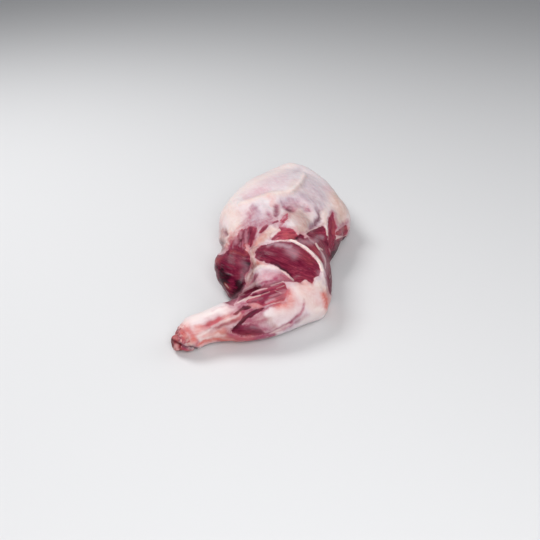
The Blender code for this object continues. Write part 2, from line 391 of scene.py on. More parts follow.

# Each row is how far a tint reaches, how strong it is and the corners of its line. Within a tint the
# rows run from the blade end at the top of the frame to the knuckle at the bottom. The fat is warm along
# its ridges and salmon where blood shows through, and the shank is red at its rim. Painted shade lies
# mauve in the fat's hollows, and painted highlights lie along the blade's rim and ridge.
STAINS = stains_of({
    Tint.CREAM: (
        (3.5, 0.45, 290, 187, 296, 182), (8, 0.85, 334, 196, 341, 210, 340, 220),
        (2.6, 0.6, 240, 205, 257, 198, 271, 195, 285, 194, 293, 193, 299, 187, 304, 178),
        (3.5, 0.75, 324, 210, 324, 224), (9, 0.65, 226, 211, 236, 216, 236, 226),
        (7, 0.8, 292, 214, 300, 216, 306, 222, 301, 230),
        (3.6, 0.85, 275, 228, 266, 236, 257, 244, 253, 254, 252.5, 262),
        (3, 0.6, 228, 233, 231, 229, 236, 227), (2.4, 0.85, 335, 239, 341, 237.6, 347, 236.6),
        (3, 0.7, 229, 243, 232, 238, 236, 233.6), (2, 0.55, 258, 262.5, 264, 264.6),
        (1.6, 0.7, 252, 271, 255, 271), (7, 0.55, 300, 286, 312, 288, 322, 284, 325, 292),
        (6, 0.45, 302, 290, 308, 300, 316, 308), (2.6, 0.7, 187, 341, 191, 344),
    ),
    # Lilac is the fat's bluish tone; it is also painted shade in the hollows over the blade, on the blade's
    # right side turned from the light and under the shank, and a painted sheen on the stump.
    Tint.LILAC: (
        (4, 0.45, 294, 172, 299, 170), (9, 0.26, 262, 180, 284, 176, 296, 174),
        (9, 0.62, 306, 184, 314, 189, 320, 197), (6, 0.8, 300, 196, 312, 200, 320, 206),
        (4, 0.85, 282, 202, 290, 199, 298, 201), (3.4, 0.7, 284, 205, 294, 206, 303, 208),
        (4.2, 0.5, 262, 206, 268, 213, 265, 219), (5, 0.85, 256, 207, 259, 213, 256, 220),
        (4, 0.95, 316.6, 208, 319, 213, 319.6, 219, 315.4, 223.6, 310.6, 226.6),
        (2, 0.8, 304, 211, 309, 210), (7, 0.22, 296, 216, 304, 222), (2.2, 0.35, 273, 226, 279, 225),
        (2, 0.5, 246, 230, 246.6, 242), (1.6, 0.5, 222, 247, 222, 254),
        (1.6, 0.85, 320, 250, 323, 254, 325, 259, 325.4, 269),
        (3.2, 0.5, 242, 263, 246, 266, 244, 272, 242, 279), (1.6, 0.6, 327, 264, 327, 274),
        (1.8, 0.8, 325, 268, 325.8, 284), (5, 0.72, 264, 271, 274, 272, 268, 278),
        (2.4, 0.6, 319, 272, 319.5, 279), (1.6, 0.6, 323, 276, 323.4, 284),
        (2, 0.55, 256, 284.6, 264, 283, 274, 281.6), (3.4, 0.36, 274, 297, 283, 296),
        (1.6, 0.45, 249, 299.6, 256, 299, 262, 298), (3, 0.28, 273, 299.6, 281, 298.6),
        (5, 0.7, 266, 322, 270, 325), (1.8, 0.55, 222, 326, 229, 323.4, 237, 318.6),
        (3.8, 0.85, 286, 328, 292, 324, 300, 319, 306, 314.6), (2.6, 0.22, 246, 328.5, 254, 328),
    ),
    # Flesh is the fat's pink; on small spots of the stump, the neck and the flexors it is a painted
    # highlight.
    Tint.FLESH: (
        (8, 0.24, 262, 184, 282, 180), (3, 0.35, 325, 188, 329, 190),
        (5, 0.55, 246, 197, 256, 192, 266, 189), (6, 0.26, 288, 204, 300, 206, 308, 210),
        (7, 0.28, 244, 214, 254, 217, 266, 218, 276, 218), (1.3, 0.9, 282.6, 220, 285.6, 217),
        (2, 0.6, 279, 224, 284, 226.5), (1.5, 0.4, 245.6, 231, 246.2, 242),
        (1.8, 0.6, 240, 232, 240.4, 236.4), (1.3, 0.5, 306, 236, 313, 241.6),
        (2.2, 0.75, 236, 237.6, 236, 241.6), (0.8, 0.45, 243, 240, 243.4, 248),
        (0.8, 0.45, 234.6, 241, 233, 248), (1.2, 0.5, 240.4, 243.4, 240.6, 244.4),
        (1.3, 0.4, 322, 253, 325, 260), (1.2, 0.6, 214.6, 259.5, 214.6, 264),
        (1.8, 0.5, 280, 271, 287, 275.6), (6, 0.8, 258, 280, 266, 276, 276, 276),
        (2.2, 0.34, 262, 285, 270, 283), (1.8, 0.7, 252, 285.4, 257, 283.2, 263, 281),
        (1.5, 0.4, 279.6, 290.6, 285.4, 289.8), (1.2, 0.5, 254, 292.4, 260, 290.6, 266, 288.6),
        (2.2, 0.4, 228, 304, 238, 294.6, 247, 286.6, 256, 282), (4, 0.5, 228, 308, 238, 301),
        (7, 0.22, 262, 328, 276, 322, 290, 313, 300, 305), (2.2, 0.7, 270, 334, 282, 328, 292, 322),
    ),
    # Rose is the blood-pink film; it is also painted shade in the hollows over the blade and along the
    # crease of the shank's big muscle.
    Tint.ROSE: (
        (2.6, 0.22, 282, 203, 293, 202, 304, 206, 310, 210), (3, 0.7, 284, 206, 289, 208.3, 293, 210),
        (3.4, 0.8, 277.5, 207, 276, 214), (3.8, 0.62, 253, 208, 250, 216, 246, 223),
        (1.8, 0.5, 306, 209.5, 309, 210), (2.6, 0.42, 318.6, 212, 319.6, 218, 315.4, 223.6, 310.6, 226.6),
        (2.8, 0.55, 331, 212, 332, 216, 337, 228, 347, 222), (2.6, 0.62, 269, 214, 271, 218, 266, 222),
        (2.2, 0.45, 250, 223, 262, 221), (3.4, 0.5, 260, 225, 266, 222, 272, 222),
        (1.6, 0.55, 281, 225, 279.5, 229), (3, 0.5, 246, 227, 252, 225, 257, 226),
        (2, 0.6, 256, 231, 254.5, 240), (1.8, 0.45, 224.6, 232, 226.6, 235.6),
        (1, 0.55, 275.6, 232.6, 282, 229), (1.8, 0.8, 231, 240.6, 230, 244, 229.4, 248),
        (2, 0.3, 233, 245, 232, 238), (2, 0.8, 257, 275, 254, 280, 250.5, 285),
        (3, 0.8, 275, 279, 282, 276, 289, 279), (2, 0.75, 256, 283, 268, 281.5, 280, 281),
        (4, 0.4, 266, 287, 276, 286, 284, 290), (4, 0.5, 248, 292, 262, 287, 276, 286),
        (1.3, 0.45, 304, 299, 304.4, 305), (2, 0.6, 233, 302, 240, 295, 247, 288, 256, 283.5),
        (1.6, 0.8, 242, 304.4, 246, 302.8), (2.5, 0.6, 236, 305, 243, 303),
        (1.1, 0.4, 212, 311.5, 220, 308.5, 226, 307), (1.6, 0.8, 262, 311.5, 270, 306.5, 280, 303.5),
        (6, 0.55, 232, 312, 244, 305, 256, 300, 266, 296),
        (2.4, 0.95, 234, 317, 243, 313.4, 248, 311, 252, 310), (4, 0.55, 240, 320, 252, 313, 264, 307),
        (3.2, 0.66, 246, 322.5, 254, 318.6, 262, 314.5), (2.6, 0.6, 250, 322.6, 258, 321, 265, 319.4),
        (2.6, 0.62, 208, 323.6, 218, 321.4), (3.5, 0.45, 214, 325, 226, 321, 240, 315),
        (3.2, 0.62, 256, 325, 262, 329, 270, 330), (1.5, 0.5, 290, 326, 299, 319.6, 307, 314),
        (3, 0.7, 240, 327, 252, 325), (3, 0.7, 176, 333, 182, 331, 189, 330, 192, 335),
        (1.6, 0.9, 232, 334.6, 238, 335.4), (3.2, 0.9, 173, 335, 178, 338, 183, 342),
        (1.9, 0.72, 262, 335, 272, 332, 282, 327.6, 290, 322.4, 296.6, 316.8, 301.6, 310.6, 304.4, 304),
        (2.8, 0.92, 232, 338, 246, 339.5, 260, 338, 274, 334.5),
        (2.6, 1, 172, 340, 176, 342, 180, 345, 183, 347.6, 187, 349.4), (2.2, 0.8, 197, 341, 196.5, 345),
        (1.6, 0.7, 218, 341.5, 232, 342, 246, 341),
    ),
    Tint.BLUSH: (
        (3, 0.3, 269, 196, 273, 199, 272, 204), (2.2, 0.28, 223, 212, 221.5, 222),
        (1.8, 0.55, 333.5, 222, 334, 232), (2, 0.5, 344, 229, 347, 227.6),
        (1.4, 0.5, 336.6, 233.4, 339, 233), (2.2, 0.4, 231, 234, 237, 232, 240, 228),
        (3.6, 0.5, 284, 235, 292, 236), (4, 0.35, 229, 240, 236, 236), (1.6, 0.55, 247, 243, 248.5, 251),
        (4, 0.34, 256, 244, 264, 235), (1.8, 0.35, 311, 245, 317, 252, 321, 259),
        (2.4, 0.45, 226, 246, 231, 242), (2.4, 0.6, 246, 246, 247.6, 252),
        (1.6, 0.42, 231, 251.5, 238, 253, 244, 255.5), (4, 0.22, 304, 255, 311, 261),
        (2.2, 0.5, 216, 261, 220, 258), (1.6, 0.45, 257, 262, 266, 265),
        (1.3, 0.55, 224.5, 283.5, 229, 289), (2.5, 0.35, 300, 285, 312, 284),
        (9, 0.3, 304, 288, 310, 294, 316, 302), (6.6, 0.72, 287, 293, 291, 299, 288, 304, 278, 305),
        (4.4, 0.95, 323, 295, 326, 301, 325.5, 308), (9, 0.3, 290, 296, 293, 302),
        (2.8, 0.62, 250, 304.5, 256, 305, 261, 306.6), (3, 1, 208, 324, 214, 322.4, 220, 320.6),
        (5, 0.75, 178, 328, 185, 327, 191, 333, 194, 340), (3.2, 0.7, 196, 328, 202, 326, 208, 325),
        (5.6, 0.6, 196, 331, 210, 326, 224, 321, 240, 315), (4, 0.7, 181, 332, 185, 336),
        (4.5, 0.62, 196, 334, 206, 336, 216, 334, 224, 331), (4, 0.55, 214, 338, 232, 339, 252, 338),
        (1.8, 0.9, 204, 341, 216, 340.5, 230, 340.5),
        (2.6, 0.85, 199, 345, 207, 342, 216, 339.6, 226, 340.6, 236, 341.6),
        (1.8, 0.6, 187, 350.4, 194, 350.8),
    ),
    # Tan is the brown of torn fat; it is also painted shade at the fat's left rim, in the valley beside the
    # stump and in strips down the shank.
    Tint.TAN: (
        (7, 0.14, 302, 190, 312, 196, 318, 204), (5, 0.22, 336, 200, 343, 214),
        (9, 0.38, 296, 213, 302, 219, 303, 229), (2.5, 0.35, 221, 226, 220.5, 236),
        (2.2, 0.7, 222.4, 230, 222.8, 240), (2.4, 0.75, 225, 230, 226.5, 234),
        (4.6, 0.58, 223, 231, 225, 239, 222.6, 250), (1.5, 0.4, 245.5, 233, 245, 242),
        (2.2, 0.7, 226, 243, 226, 248), (3, 0.55, 224, 244, 229, 241, 231, 237),
        (2.2, 0.6, 228.6, 245, 231, 238), (3.2, 0.62, 253, 246, 252, 256, 252.5, 262),
        (5, 0.32, 256, 246, 262, 240, 268, 236), (2.5, 0.65, 226, 249, 229, 245),
        (4.2, 1, 249, 262, 252, 266, 258, 264), (1.8, 0.75, 248, 269, 247, 275, 246.5, 282),
        (4.4, 0.62, 247, 273, 251, 277, 249, 283), (1.8, 0.8, 252, 273, 250, 279, 247.5, 285),
        (6, 0.16, 260, 276, 270, 274, 280, 275), (2, 0.5, 326, 290, 328, 298),
        (2.6, 0.6, 250, 308, 256, 306.4), (1.5, 0.6, 220, 319.5, 227, 317, 232, 314),
        (3.5, 0.55, 250, 321, 260, 317, 270, 320), (4, 0.5, 262, 321, 270, 322.6, 274, 326),
        (3, 0.6, 254, 321.6, 262, 320, 270, 321), (6, 0.17, 266, 322, 276, 317, 288, 313),
        (2.4, 0.76, 216, 328.6, 223, 326, 229, 323.6, 236, 319, 242, 315),
        (2.2, 0.42, 214, 329, 226, 323, 236, 318), (3.6, 0.62, 182, 333, 186, 338, 187, 343),
        (3.4, 0.86, 221, 333, 229, 334, 238, 339),
        (4.6, 0.66, 210, 336, 220, 333, 228, 331, 231, 336, 220, 338),
        (2.6, 0.35, 232, 338, 246, 339, 258, 338),
    ),
    # Shade is painted shade in hollows, creases and cracks, between the stump and the shank and under the
    # lobe at the right rim; on the muscle it also deepens the red.
    Tint.SHADE: (
        (2.2, 0.16, 284, 204, 293, 203.4, 304, 207), (2.4, 0.95, 287.6, 208.4, 290.6, 210),
        (2.8, 0.42, 277.5, 208.5, 276, 213), (2.4, 0.6, 320, 212, 320, 218, 315, 224),
        (1.2, 0.3, 225.5, 230.5, 226.5, 233.5), (1.5, 0.3, 251.6, 231, 250.8, 240),
        (1.6, 0.5, 225.2, 231.6, 226.6, 234.6), (1.5, 0.3, 251.5, 238, 250.5, 246),
        (1.5, 0.3, 272.5, 238.6, 276, 236.5), (1.3, 0.8, 290, 238.6, 297, 238.3),
        (1.2, 0.55, 239.8, 239.2, 240, 241.2), (3.6, 0.85, 347, 240, 340, 248.6, 332.6, 257),
        (1.5, 0.65, 325.5, 241.5, 327, 245), (1.4, 0.26, 230.6, 242, 229.6, 248),
        (2.4, 0.44, 221, 243, 224, 249), (3, 0.28, 257.5, 252, 266, 253),
        (1.6, 0.3, 227.5, 253, 231, 254.5), (3, 0.22, 290, 262, 300, 262),
        (3.6, 0.42, 249.5, 263, 252.5, 267, 250, 270),
        (1.3, 0.85, 270, 263, 279, 266.5, 286, 271, 293, 277.5), (2, 0.55, 216, 266, 222, 268, 229, 270),
        (1.8, 0.5, 331, 270, 330.5, 284, 331.5, 291), (5.5, 0.95, 222, 272, 227, 277, 224, 281),
        (1.3, 0.46, 252.5, 273.6, 251.4, 278, 249.6, 281), (0.9, 0.5, 258, 276, 254.5, 281),
        (0.8, 0.35, 268, 281.5, 280, 281), (5, 0.85, 238, 283, 241, 289, 237, 294),
        (1.4, 0.3, 280, 285.6, 285.5, 287), (1.1, 0.5, 279, 289.6, 284.4, 287),
        (0.8, 0.25, 270, 290, 277, 287.4, 284, 284), (0.8, 0.42, 272, 293.4, 280, 291.4, 286, 289),
        (0.9, 0.9, 253, 295, 261, 292.8, 267, 291), (2.2, 0.9, 234, 297, 238, 294),
        (1.9, 0.34, 242.6, 297.4, 249, 292.6, 256, 289), (3, 0.18, 272, 299, 281, 297),
        (1.8, 0.6, 260, 300.5, 264, 297.5, 270, 294.5), (2.6, 0.55, 262, 302.4, 267, 298.6),
        (1.3, 0.65, 248, 303, 256, 301.4), (1.3, 0.65, 262, 304, 264, 302),
        (2, 0.55, 239, 309.6, 249, 306.6), (2, 0.26, 243, 313.4, 248, 311, 252, 309.6),
        (2.6, 0.32, 297, 321, 303, 316.6), (1.9, 0.34, 219, 327.4, 228, 324, 236, 319),
        (2, 0.3, 233, 329.6, 239, 328, 239, 332),
        (1.1, 0.34, 264, 335, 274, 331.4, 283, 327.4, 291, 321.6, 297, 316.6),
        (1.4, 0.8, 171, 339, 172, 335, 174.5, 331.5, 177.5, 329.6),
        (1.7, 0.95, 171, 339, 175, 341.6, 180, 344), (1.3, 0.75, 180, 344, 185, 346.6, 190, 347.8),
        (2, 1, 190, 347.5, 193, 346.5, 196, 348.5),
    ),
    # Pale is the cream of tendons and fat; along the blade's rim and ridge, at the top of the flexors,
    # along the shank's upper side and at the elbow it is a painted highlight.
    Tint.PALE: (
        (2.4, 0.6, 288, 192, 296, 187.5, 300, 182, 303, 176), (5, 0.35, 236, 200, 250, 186, 262, 182),
        (1.6, 0.55, 240, 204.5, 252, 200.5, 262, 196.4, 272, 193.8, 280, 194),
        (2.6, 0.22, 264, 205, 266, 210), (2.2, 0.55, 322.5, 212, 322.5, 221),
        (5, 0.4, 225, 213, 232, 218, 236, 224),
        (3.6, 0.75, 221, 216, 225, 206, 234, 197, 246, 187, 262, 178, 280, 170, 293, 164),
        (1.6, 0.55, 275, 229, 280.6, 226), (1.6, 0.55, 235.6, 234, 238.4, 231.2, 242, 228.4),
        (1.4, 0.5, 229, 236, 226, 241, 228.6, 243), (1.2, 0.45, 335, 239, 340, 237.8, 345, 237),
        (1.4, 0.65, 261, 267.6, 268, 267.6, 275, 269.4), (1.2, 0.4, 323, 270, 323.6, 280, 324, 290),
        (1.2, 0.6, 323, 270, 324, 278, 324.6, 284), (1.2, 0.5, 253.6, 285, 259, 282.4),
        (1.3, 0.7, 250.6, 286.6, 253, 285.4, 256.6, 284), (5, 0.35, 300, 292, 308, 300, 312, 308),
        (1.1, 0.5, 230, 303, 238, 296.4, 245, 289.6, 252, 284.6, 262, 281),
        (1.4, 0.45, 234, 305, 241, 301, 247, 299), (3, 0.6, 316, 310, 325, 311),
        (5, 0.3, 272, 315, 282, 313, 292, 311), (5, 0.5, 304, 319, 310, 316.4, 318, 312),
        (4.5, 0.6, 186, 322, 200, 316, 214, 313, 228, 309), (1.8, 0.5, 178, 327, 183, 328),
        (1, 0.5, 270, 333.6, 280, 329, 289, 324), (2.5, 0.35, 206, 335, 214, 333),
        (1.3, 0.75, 198, 336, 206, 332, 212, 328.4, 220, 323.8, 228, 320, 236, 315.8, 241, 314.2),
        (2, 0.4, 198, 338, 206, 337), (1.5, 0.55, 199, 339, 206, 338, 212, 336, 219, 334),
    ),
    # Painted sheen: highlights of the light on the wet muscle, laid in the silver skin's colour.
    Tint.PAINTED_SHEEN: (
        (2, 0.3, 318, 236.5, 322, 237.5), (2.6, 0.3, 301, 241, 310, 243, 317, 240),
        (2.6, 0.42, 276, 244.5, 284, 245, 290, 247), (1.4, 0.3, 268, 246, 274, 243.4),
        (4.8, 0.3, 289, 250, 295, 254), (0.9, 0.22, 270, 296.6, 278, 293.6, 285, 292),
        (1.3, 0.45, 267, 302.4, 274, 300), (2, 0.16, 252, 327, 260, 328),
    ),
})

# Rosy gristle above the crack, two blood-red knobs of bone under it.
BONE_STAINS = stains_of({
    Tint.FLESH: (
        (1.8, 0.6, 175, 337, 177, 339), (2.2, 0.8, 176, 345.6, 177.6, 349),
    ),
    Tint.ROSE: (
        (4, 0.65, 174, 335, 178, 339), (3.2, 0.95, 181, 346, 184.6, 350),
    ),
    Tint.BLUSH: (
        (2.2, 0.6, 182.4, 347, 184, 350),
    ),
    # Painted shade in the crack, between the knobs and along the bone's left and lower edges.
    Tint.SHADE: (
        (1.6, 1, 171, 339.5, 175, 341.6, 180, 344, 185, 347), (0.9, 0.65, 179.6, 346.6, 180.4, 351),
        (2, 0.95, 191, 347.4, 195.6, 349), (0.9, 0.65, 186.4, 348, 187, 351),
        (0.8, 0.55, 176, 351.5, 184, 351.5), (2, 0.85, 171, 352, 171.6, 346, 171.6, 341),
    ),
    Tint.PALE: (
        (1.3, 0.5, 187, 348, 189, 349.5),
    ),
})

# Each row is a fold's height in millimetres, how far it reaches and the corners of its line.
FOLDS = folds_of(
    # The notch above the stump, the stump's own bulge and the slopes of the knuckle.
    (-2.6, 3.2, 218, 246, 219, 251), (1.8, 3.6, 213, 260, 214, 266), (-2.2, 4, 219, 286, 224, 294),
    (-3, 4, 174, 326, 180, 319.5), (-1.6, 3.5, 202, 343, 216, 341, 232, 341),
    # The oval muscle stands out of its bed, and its lower edge overhangs the mound.
    (-0.8, 1.8, 254, 256, 257, 248, 266, 244),
    (-1.2, 1.2, 262, 262.5, 272, 266, 280, 269.5, 287, 275, 295, 281),
    (0.9, 7, 262, 254, 280, 256, 300, 264),
    # The valley between the stump and the upper arm.
    (-1.5, 2.6, 252, 262, 251, 268, 247, 280, 242, 292),
    # The bulges of the stump.
    (0.8, 3, 217, 259, 222, 259), (0.8, 2.6, 230, 252, 240, 254, 246, 260),
    (-0.8, 2, 217, 266, 226, 271, 236, 274), (0.5, 3, 228, 262, 238, 266), (0.6, 1.6, 222, 284, 229, 293),
    # The neck strands and the torn fat beside them.
    (-1.3, 2.4, 224, 229, 226, 235), (0.9, 2.2, 228, 233, 238, 232),
    (-0.6, 1.4, 240, 233, 239.5, 240, 240.5, 248), (0.6, 1.4, 245.5, 231, 245.5, 248),
    (-0.7, 1.4, 252, 230, 250.5, 248), (1.2, 2, 221, 239, 228, 238), (-1.2, 1.5, 220, 243.6, 229, 243),
    (-0.9, 1.5, 230, 238, 227, 247), (-0.8, 1.8, 233, 229, 232, 237), (-0.8, 1.8, 220, 247, 229, 249),
    (1.1, 2.6, 272, 226, 264, 235, 256, 243, 253, 252),
    # The hollows in the fat over the blade, and its ridges.
    (-2.2, 3, 277.5, 207, 276, 215), (-2.4, 2.8, 285, 206.5, 289, 208.6, 293, 210),
    (-1.7, 3, 269, 213, 271, 221), (-1.8, 3.6, 253, 208, 250, 218), (1.7, 4, 261, 205, 267, 210),
    (-1.2, 2, 304, 211, 310, 210), (-2.2, 2.6, 318, 209, 320.5, 214, 320.5, 219, 316, 224, 311, 227),
    (-1.5, 3, 283, 202.5, 293, 202, 304, 206), (1.2, 6, 300, 216, 304, 222, 300, 228),
    (1.5, 2.4, 240, 204, 257, 198, 271, 194.5, 285, 193.5, 293, 192),
    (1.8, 2.6, 291, 191.5, 298, 186, 304, 177), (-1.2, 4, 248, 196, 264, 190),
    (-1, 5, 306, 190, 314, 198), (1, 6, 225, 213, 234, 220), (0.9, 1.5, 281, 222, 288, 214),
    (0.8, 2, 292, 222, 298, 232), (0.9, 1.2, 325.5, 226, 327, 238), (0.9, 1.6, 334, 237.5, 343, 235),
    # Between the long muscles of the shank.
    (-0.5, 1.2, 236, 302, 246, 294.6, 258, 288.6, 268, 284.6),
    (-0.9, 0.9, 252, 295.4, 261, 292.8, 268, 290.6), (-0.8, 1.1, 246, 303, 256, 300.6, 263, 298.6),
    (0.5, 1.4, 268, 303, 276, 301, 284, 296), (-0.8, 1.2, 234, 312, 242, 307, 250, 306),
    (-1.1, 1.3, 234, 328, 244, 318, 256, 309.5), (-0.9, 1.4, 262, 310, 276, 304, 292, 303),
    (-0.9, 1.3, 262, 335, 272, 332, 282, 327.6, 290, 322.4, 297, 316.4, 302, 310),
    (-0.6, 1.4, 231, 331, 240, 335, 254, 336), (0.7, 5, 262, 324, 276, 316, 292, 310),
    # Tendons that stand out down the shank.
    (0.6, 3, 188, 324, 206, 317, 222, 311, 234, 304),
    (0.9, 1.4, 196, 334, 206, 329.5, 216, 325, 226, 319, 236, 313.5, 244, 309.5),
    (-0.7, 1.2, 206, 326, 218, 321, 230, 315), (-0.8, 1.6, 212, 330, 222, 326, 232, 321),
    (0.5, 2, 196, 338, 208, 335, 222, 334),
    # The cracks of the knuckle.
    (-1.8, 1.2, 171.5, 339.5, 175, 341.5, 180, 344, 185, 347, 190, 347.5),
    (-1.4, 1.3, 190, 347.5, 196, 348.5), (-0.9, 1.5, 179, 330, 184, 334, 184, 340),
    (-0.7, 1.4, 188, 329, 191, 335),
)

SINEWS = (
    Sinew("arch_sinew", pairs(291, 240.4, 295, 242.2, 301, 246, 307, 249.6, 311, 253, 315, 257.2,
        318.6, 261.6, 321, 266, 322, 270.6), 1.25),
    Sinew("arch_start", pairs(277, 240.8, 282, 240.8, 287, 240, 291, 240.2, 295, 242), 0.75, 0.5),
    Sinew("outer_bud", pairs(316, 243.6, 317.8, 246.4, 319.6, 249.2), 1, 0.68),
    Sinew("outer_branch", pairs(320.4, 248.2, 322.6, 249.8), 0.7, 0.45),
    Sinew("outer_strand", pairs(319.6, 249.2, 322.4, 253, 324.6, 257.6, 325.6, 262,
        325.6, 268), 0.6, 0.3),
    Sinew("notch_fat", pairs(304.5, 234, 307, 236.5, 310.5, 239.6, 314, 243), 0.6, 0.15),
    Sinew("wedge_rim", pairs(305.6, 233.8, 310.4, 230.2, 316, 228, 321, 226.2), 0.5, 0.45),
    Sinew("wedge_fat", pairs(325.2, 226.6, 325.8, 231, 326.8, 236), 0.6, 0.65),
    Sinew("finger_of_fat", pairs(279.5, 230.3, 275, 233, 271.5, 236.3), 1.2, 0.5),
    Sinew("mound_lip", pairs(256, 269.6, 260, 266.6, 265, 265.8, 271, 266.6, 278, 268.8, 284, 272.2,
        289, 276.4, 293, 279.4), 1.1, 0.42),
    Sinew("flexor_sinew", pairs(238, 302.4, 243, 300, 247, 298.4, 252, 297.2, 256, 296.2,
        260, 295), 1, 0.45),
    Sinew("flexor_tail", pairs(260, 295, 265, 293.2, 270, 291.6), 0.6, 0.2),
    Sinew("flexor_line", pairs(252, 293, 257, 291.2, 262, 289.8, 267, 288.2), 0.7, 0.34),
    Sinew("upper_line", pairs(271, 285.6, 277, 283.4, 283, 281.6), 0.55, 0.34),
    Sinew("short_line", pairs(276.6, 288.2, 280, 286.8, 284, 285), 0.5, 0.24),
    Sinew("cross_line", pairs(275, 290.4, 281.4, 292.8), 0.5, 0.2),
    Sinew("blood_line", pairs(271, 304.4, 275, 303.2, 280, 302), 0.5, 0.35),
    Sinew("stump_fleck", pairs(225, 284, 228.4, 288), 0.45, 0.25),
    Sinew("rim_fleck", pairs(331, 263.6, 331.2, 268), 0.45, 0.35),
    Sinew("lower_fleck", pairs(330.2, 274.6, 330.4, 278), 0.4, 0.3),
)


# The surface and its tissue.


@dataclass
class Tissue:
    """What each point of the meat's skin is made of."""

    bare: np.ndarray
    deep: np.ndarray
    film: np.ndarray
    sinew: np.ndarray
    white: np.ndarray
    grain: np.ndarray
    tints: dict[Tint, np.ndarray]
    cut: np.ndarray


@dataclass
class SurfaceMap:
    """The skin's points, and where each of them lies in the picture's frame."""

    mesh: bpy.types.Mesh
    viewpoint: Viewpoint
    fade_mm: float = 26.0
    neighbours: int = 12
    softness: float = 0.5 * MM
    clearance: float = 0.4 * MM
    full_warp: float = 1.9
    least_warp: float = 0.15
    shank_from: Vector = field(default_factory=lambda: Vector((-0.098, -0.182, 0.017)))
    shank_to: Vector = field(default_factory=lambda: Vector((0.046, -0.122, 0.026)))
    shank_reach: float = 0.034

    def __post_init__(self) -> None:
        """Reads the points and finds which of them the picture shows."""
        count = len(self.mesh.vertices)
        self.points = np.empty(count * 3)
        self.mesh.vertices.foreach_get("co", self.points)
        self.points = self.points.reshape(count, 3)
        self.normals = np.empty(count * 3)
        self.mesh.vertex_normals.foreach_get("vector", self.normals)
        self.normals = self.normals.reshape(count, 3)
        self.tree = self.tree_of(self.mesh)
        self.spots = self.viewpoint.project(self.points)
        self.seen = self.carry_over()

    @staticmethod
    def tree_of(mesh: bpy.types.Mesh) -> BVHTree:
        """Makes a search tree of a mesh.

        Args:
            mesh: The mesh.

        Returns:
            The tree.
        """
        mesh.calc_loop_triangles()
        corners = [tuple(triangle.vertices) for triangle in mesh.loop_triangles]
        return BVHTree.FromPolygons([vertex.co for vertex in mesh.vertices], corners)

    def carry_over(self) -> np.ndarray:
        """Gives each hidden point the mean spot of the nearest seen ones.

        Returns:
            How much of what the picture shows counts at each point, from 0 to 1.
        """
        eye = Vector(self.viewpoint.place)
        to_eye = np.array(eye) - self.points
        facing = np.einsum("ij,ij->i", to_eye, self.normals) / np.linalg.norm(to_eye, axis=1)
        self.facing = np.clip(self.full_warp * facing, self.least_warp, 1.0)
        seen = np.zeros(len(self.points), dtype=bool)
        for index in np.flatnonzero(facing > 0):
            start = Vector(self.points[index]) + Vector(self.normals[index]) * self.clearance
            seen[index] = self.tree.ray_cast(start, (eye - start).normalized())[0] is None
        where = np.flatnonzero(seen)
        near = KDTree(len(where))
        for index in where:
            near.insert(self.points[index], int(index))
        near.balance()
        weight = np.ones(len(self.points))
        for index in np.flatnonzero(~seen):
            found = near.find_n(self.points[index], self.neighbours)
            away = found[0][2]
            shares = np.array([1.0 / (distance + self.softness) ** 2 for _, _, distance in found])
            self.spots[index] = shares @ self.spots[[source for _, source, _ in found]] / shares.sum()
            weight[index] = math.exp(-((away / MM / self.fade_mm) ** 2))
        return weight

    def shank_share(self) -> np.ndarray:
        """How surely each point is on the shank, from 0 to 1."""
        away = stretch_distance(self.points, np.array(self.shank_from), np.array(self.shank_to))
        return 1.0 - smooth_step(0.8 * self.shank_reach, 1.1 * self.shank_reach, away)

    def along(self, start: Spot, end: Spot, fallback: Vector) -> np.ndarray:
        """The direction on the surface between two spots of the frame.

        Args:
            start: One spot.
            end: The other.
            fallback: The direction where a line of sight misses the surface.

        Returns:
            The direction, one long.
        """
        first = self.viewpoint.landing(self.tree, start)
        last = self.viewpoint.landing(self.tree, end)
        step = fallback if first is None or last is None else last[0] - first[0]
        return np.array(step.normalized())


def stain_fields(
    surface: SurfaceMap, spots: np.ndarray, stains: tuple[Stain, ...]
) -> dict[Tint, np.ndarray]:
    """Lays stains over a surface. Shade and tan, which carry painted shade, fade sooner where the frame
    doesn't reach.

    Args:
        surface: The surface.
        spots: Where its points lie in the frame.
        stains: The stains.

    Returns:
        How much of each tint there is at each point.
    """
    tints = {tint: np.zeros(len(spots)) for tint in Tint}
    for stain in stains:
        away = line_distance(spots, stain.line)
        seen = surface.seen ** (SHADE_AND_TAN_FADE if stain.tint in (Tint.SHADE, Tint.TAN) else 1)
        amount = stain.strength * np.exp(-((away / stain.reach) ** 2)) * seen
        tints[stain.tint] = np.maximum(tints[stain.tint], amount)
    return tints


def store_fields(mesh: bpy.types.Mesh, fields: dict[str, np.ndarray]) -> None:
    """Writes fields on to a mesh as attributes.

    Args:
        mesh: The mesh.
        fields: Values for each point, by the attribute's name.
    """
    for name, values in fields.items():
        mesh.attributes.new(name, "FLOAT", "POINT").data.foreach_set("value", values.astype(np.float32))


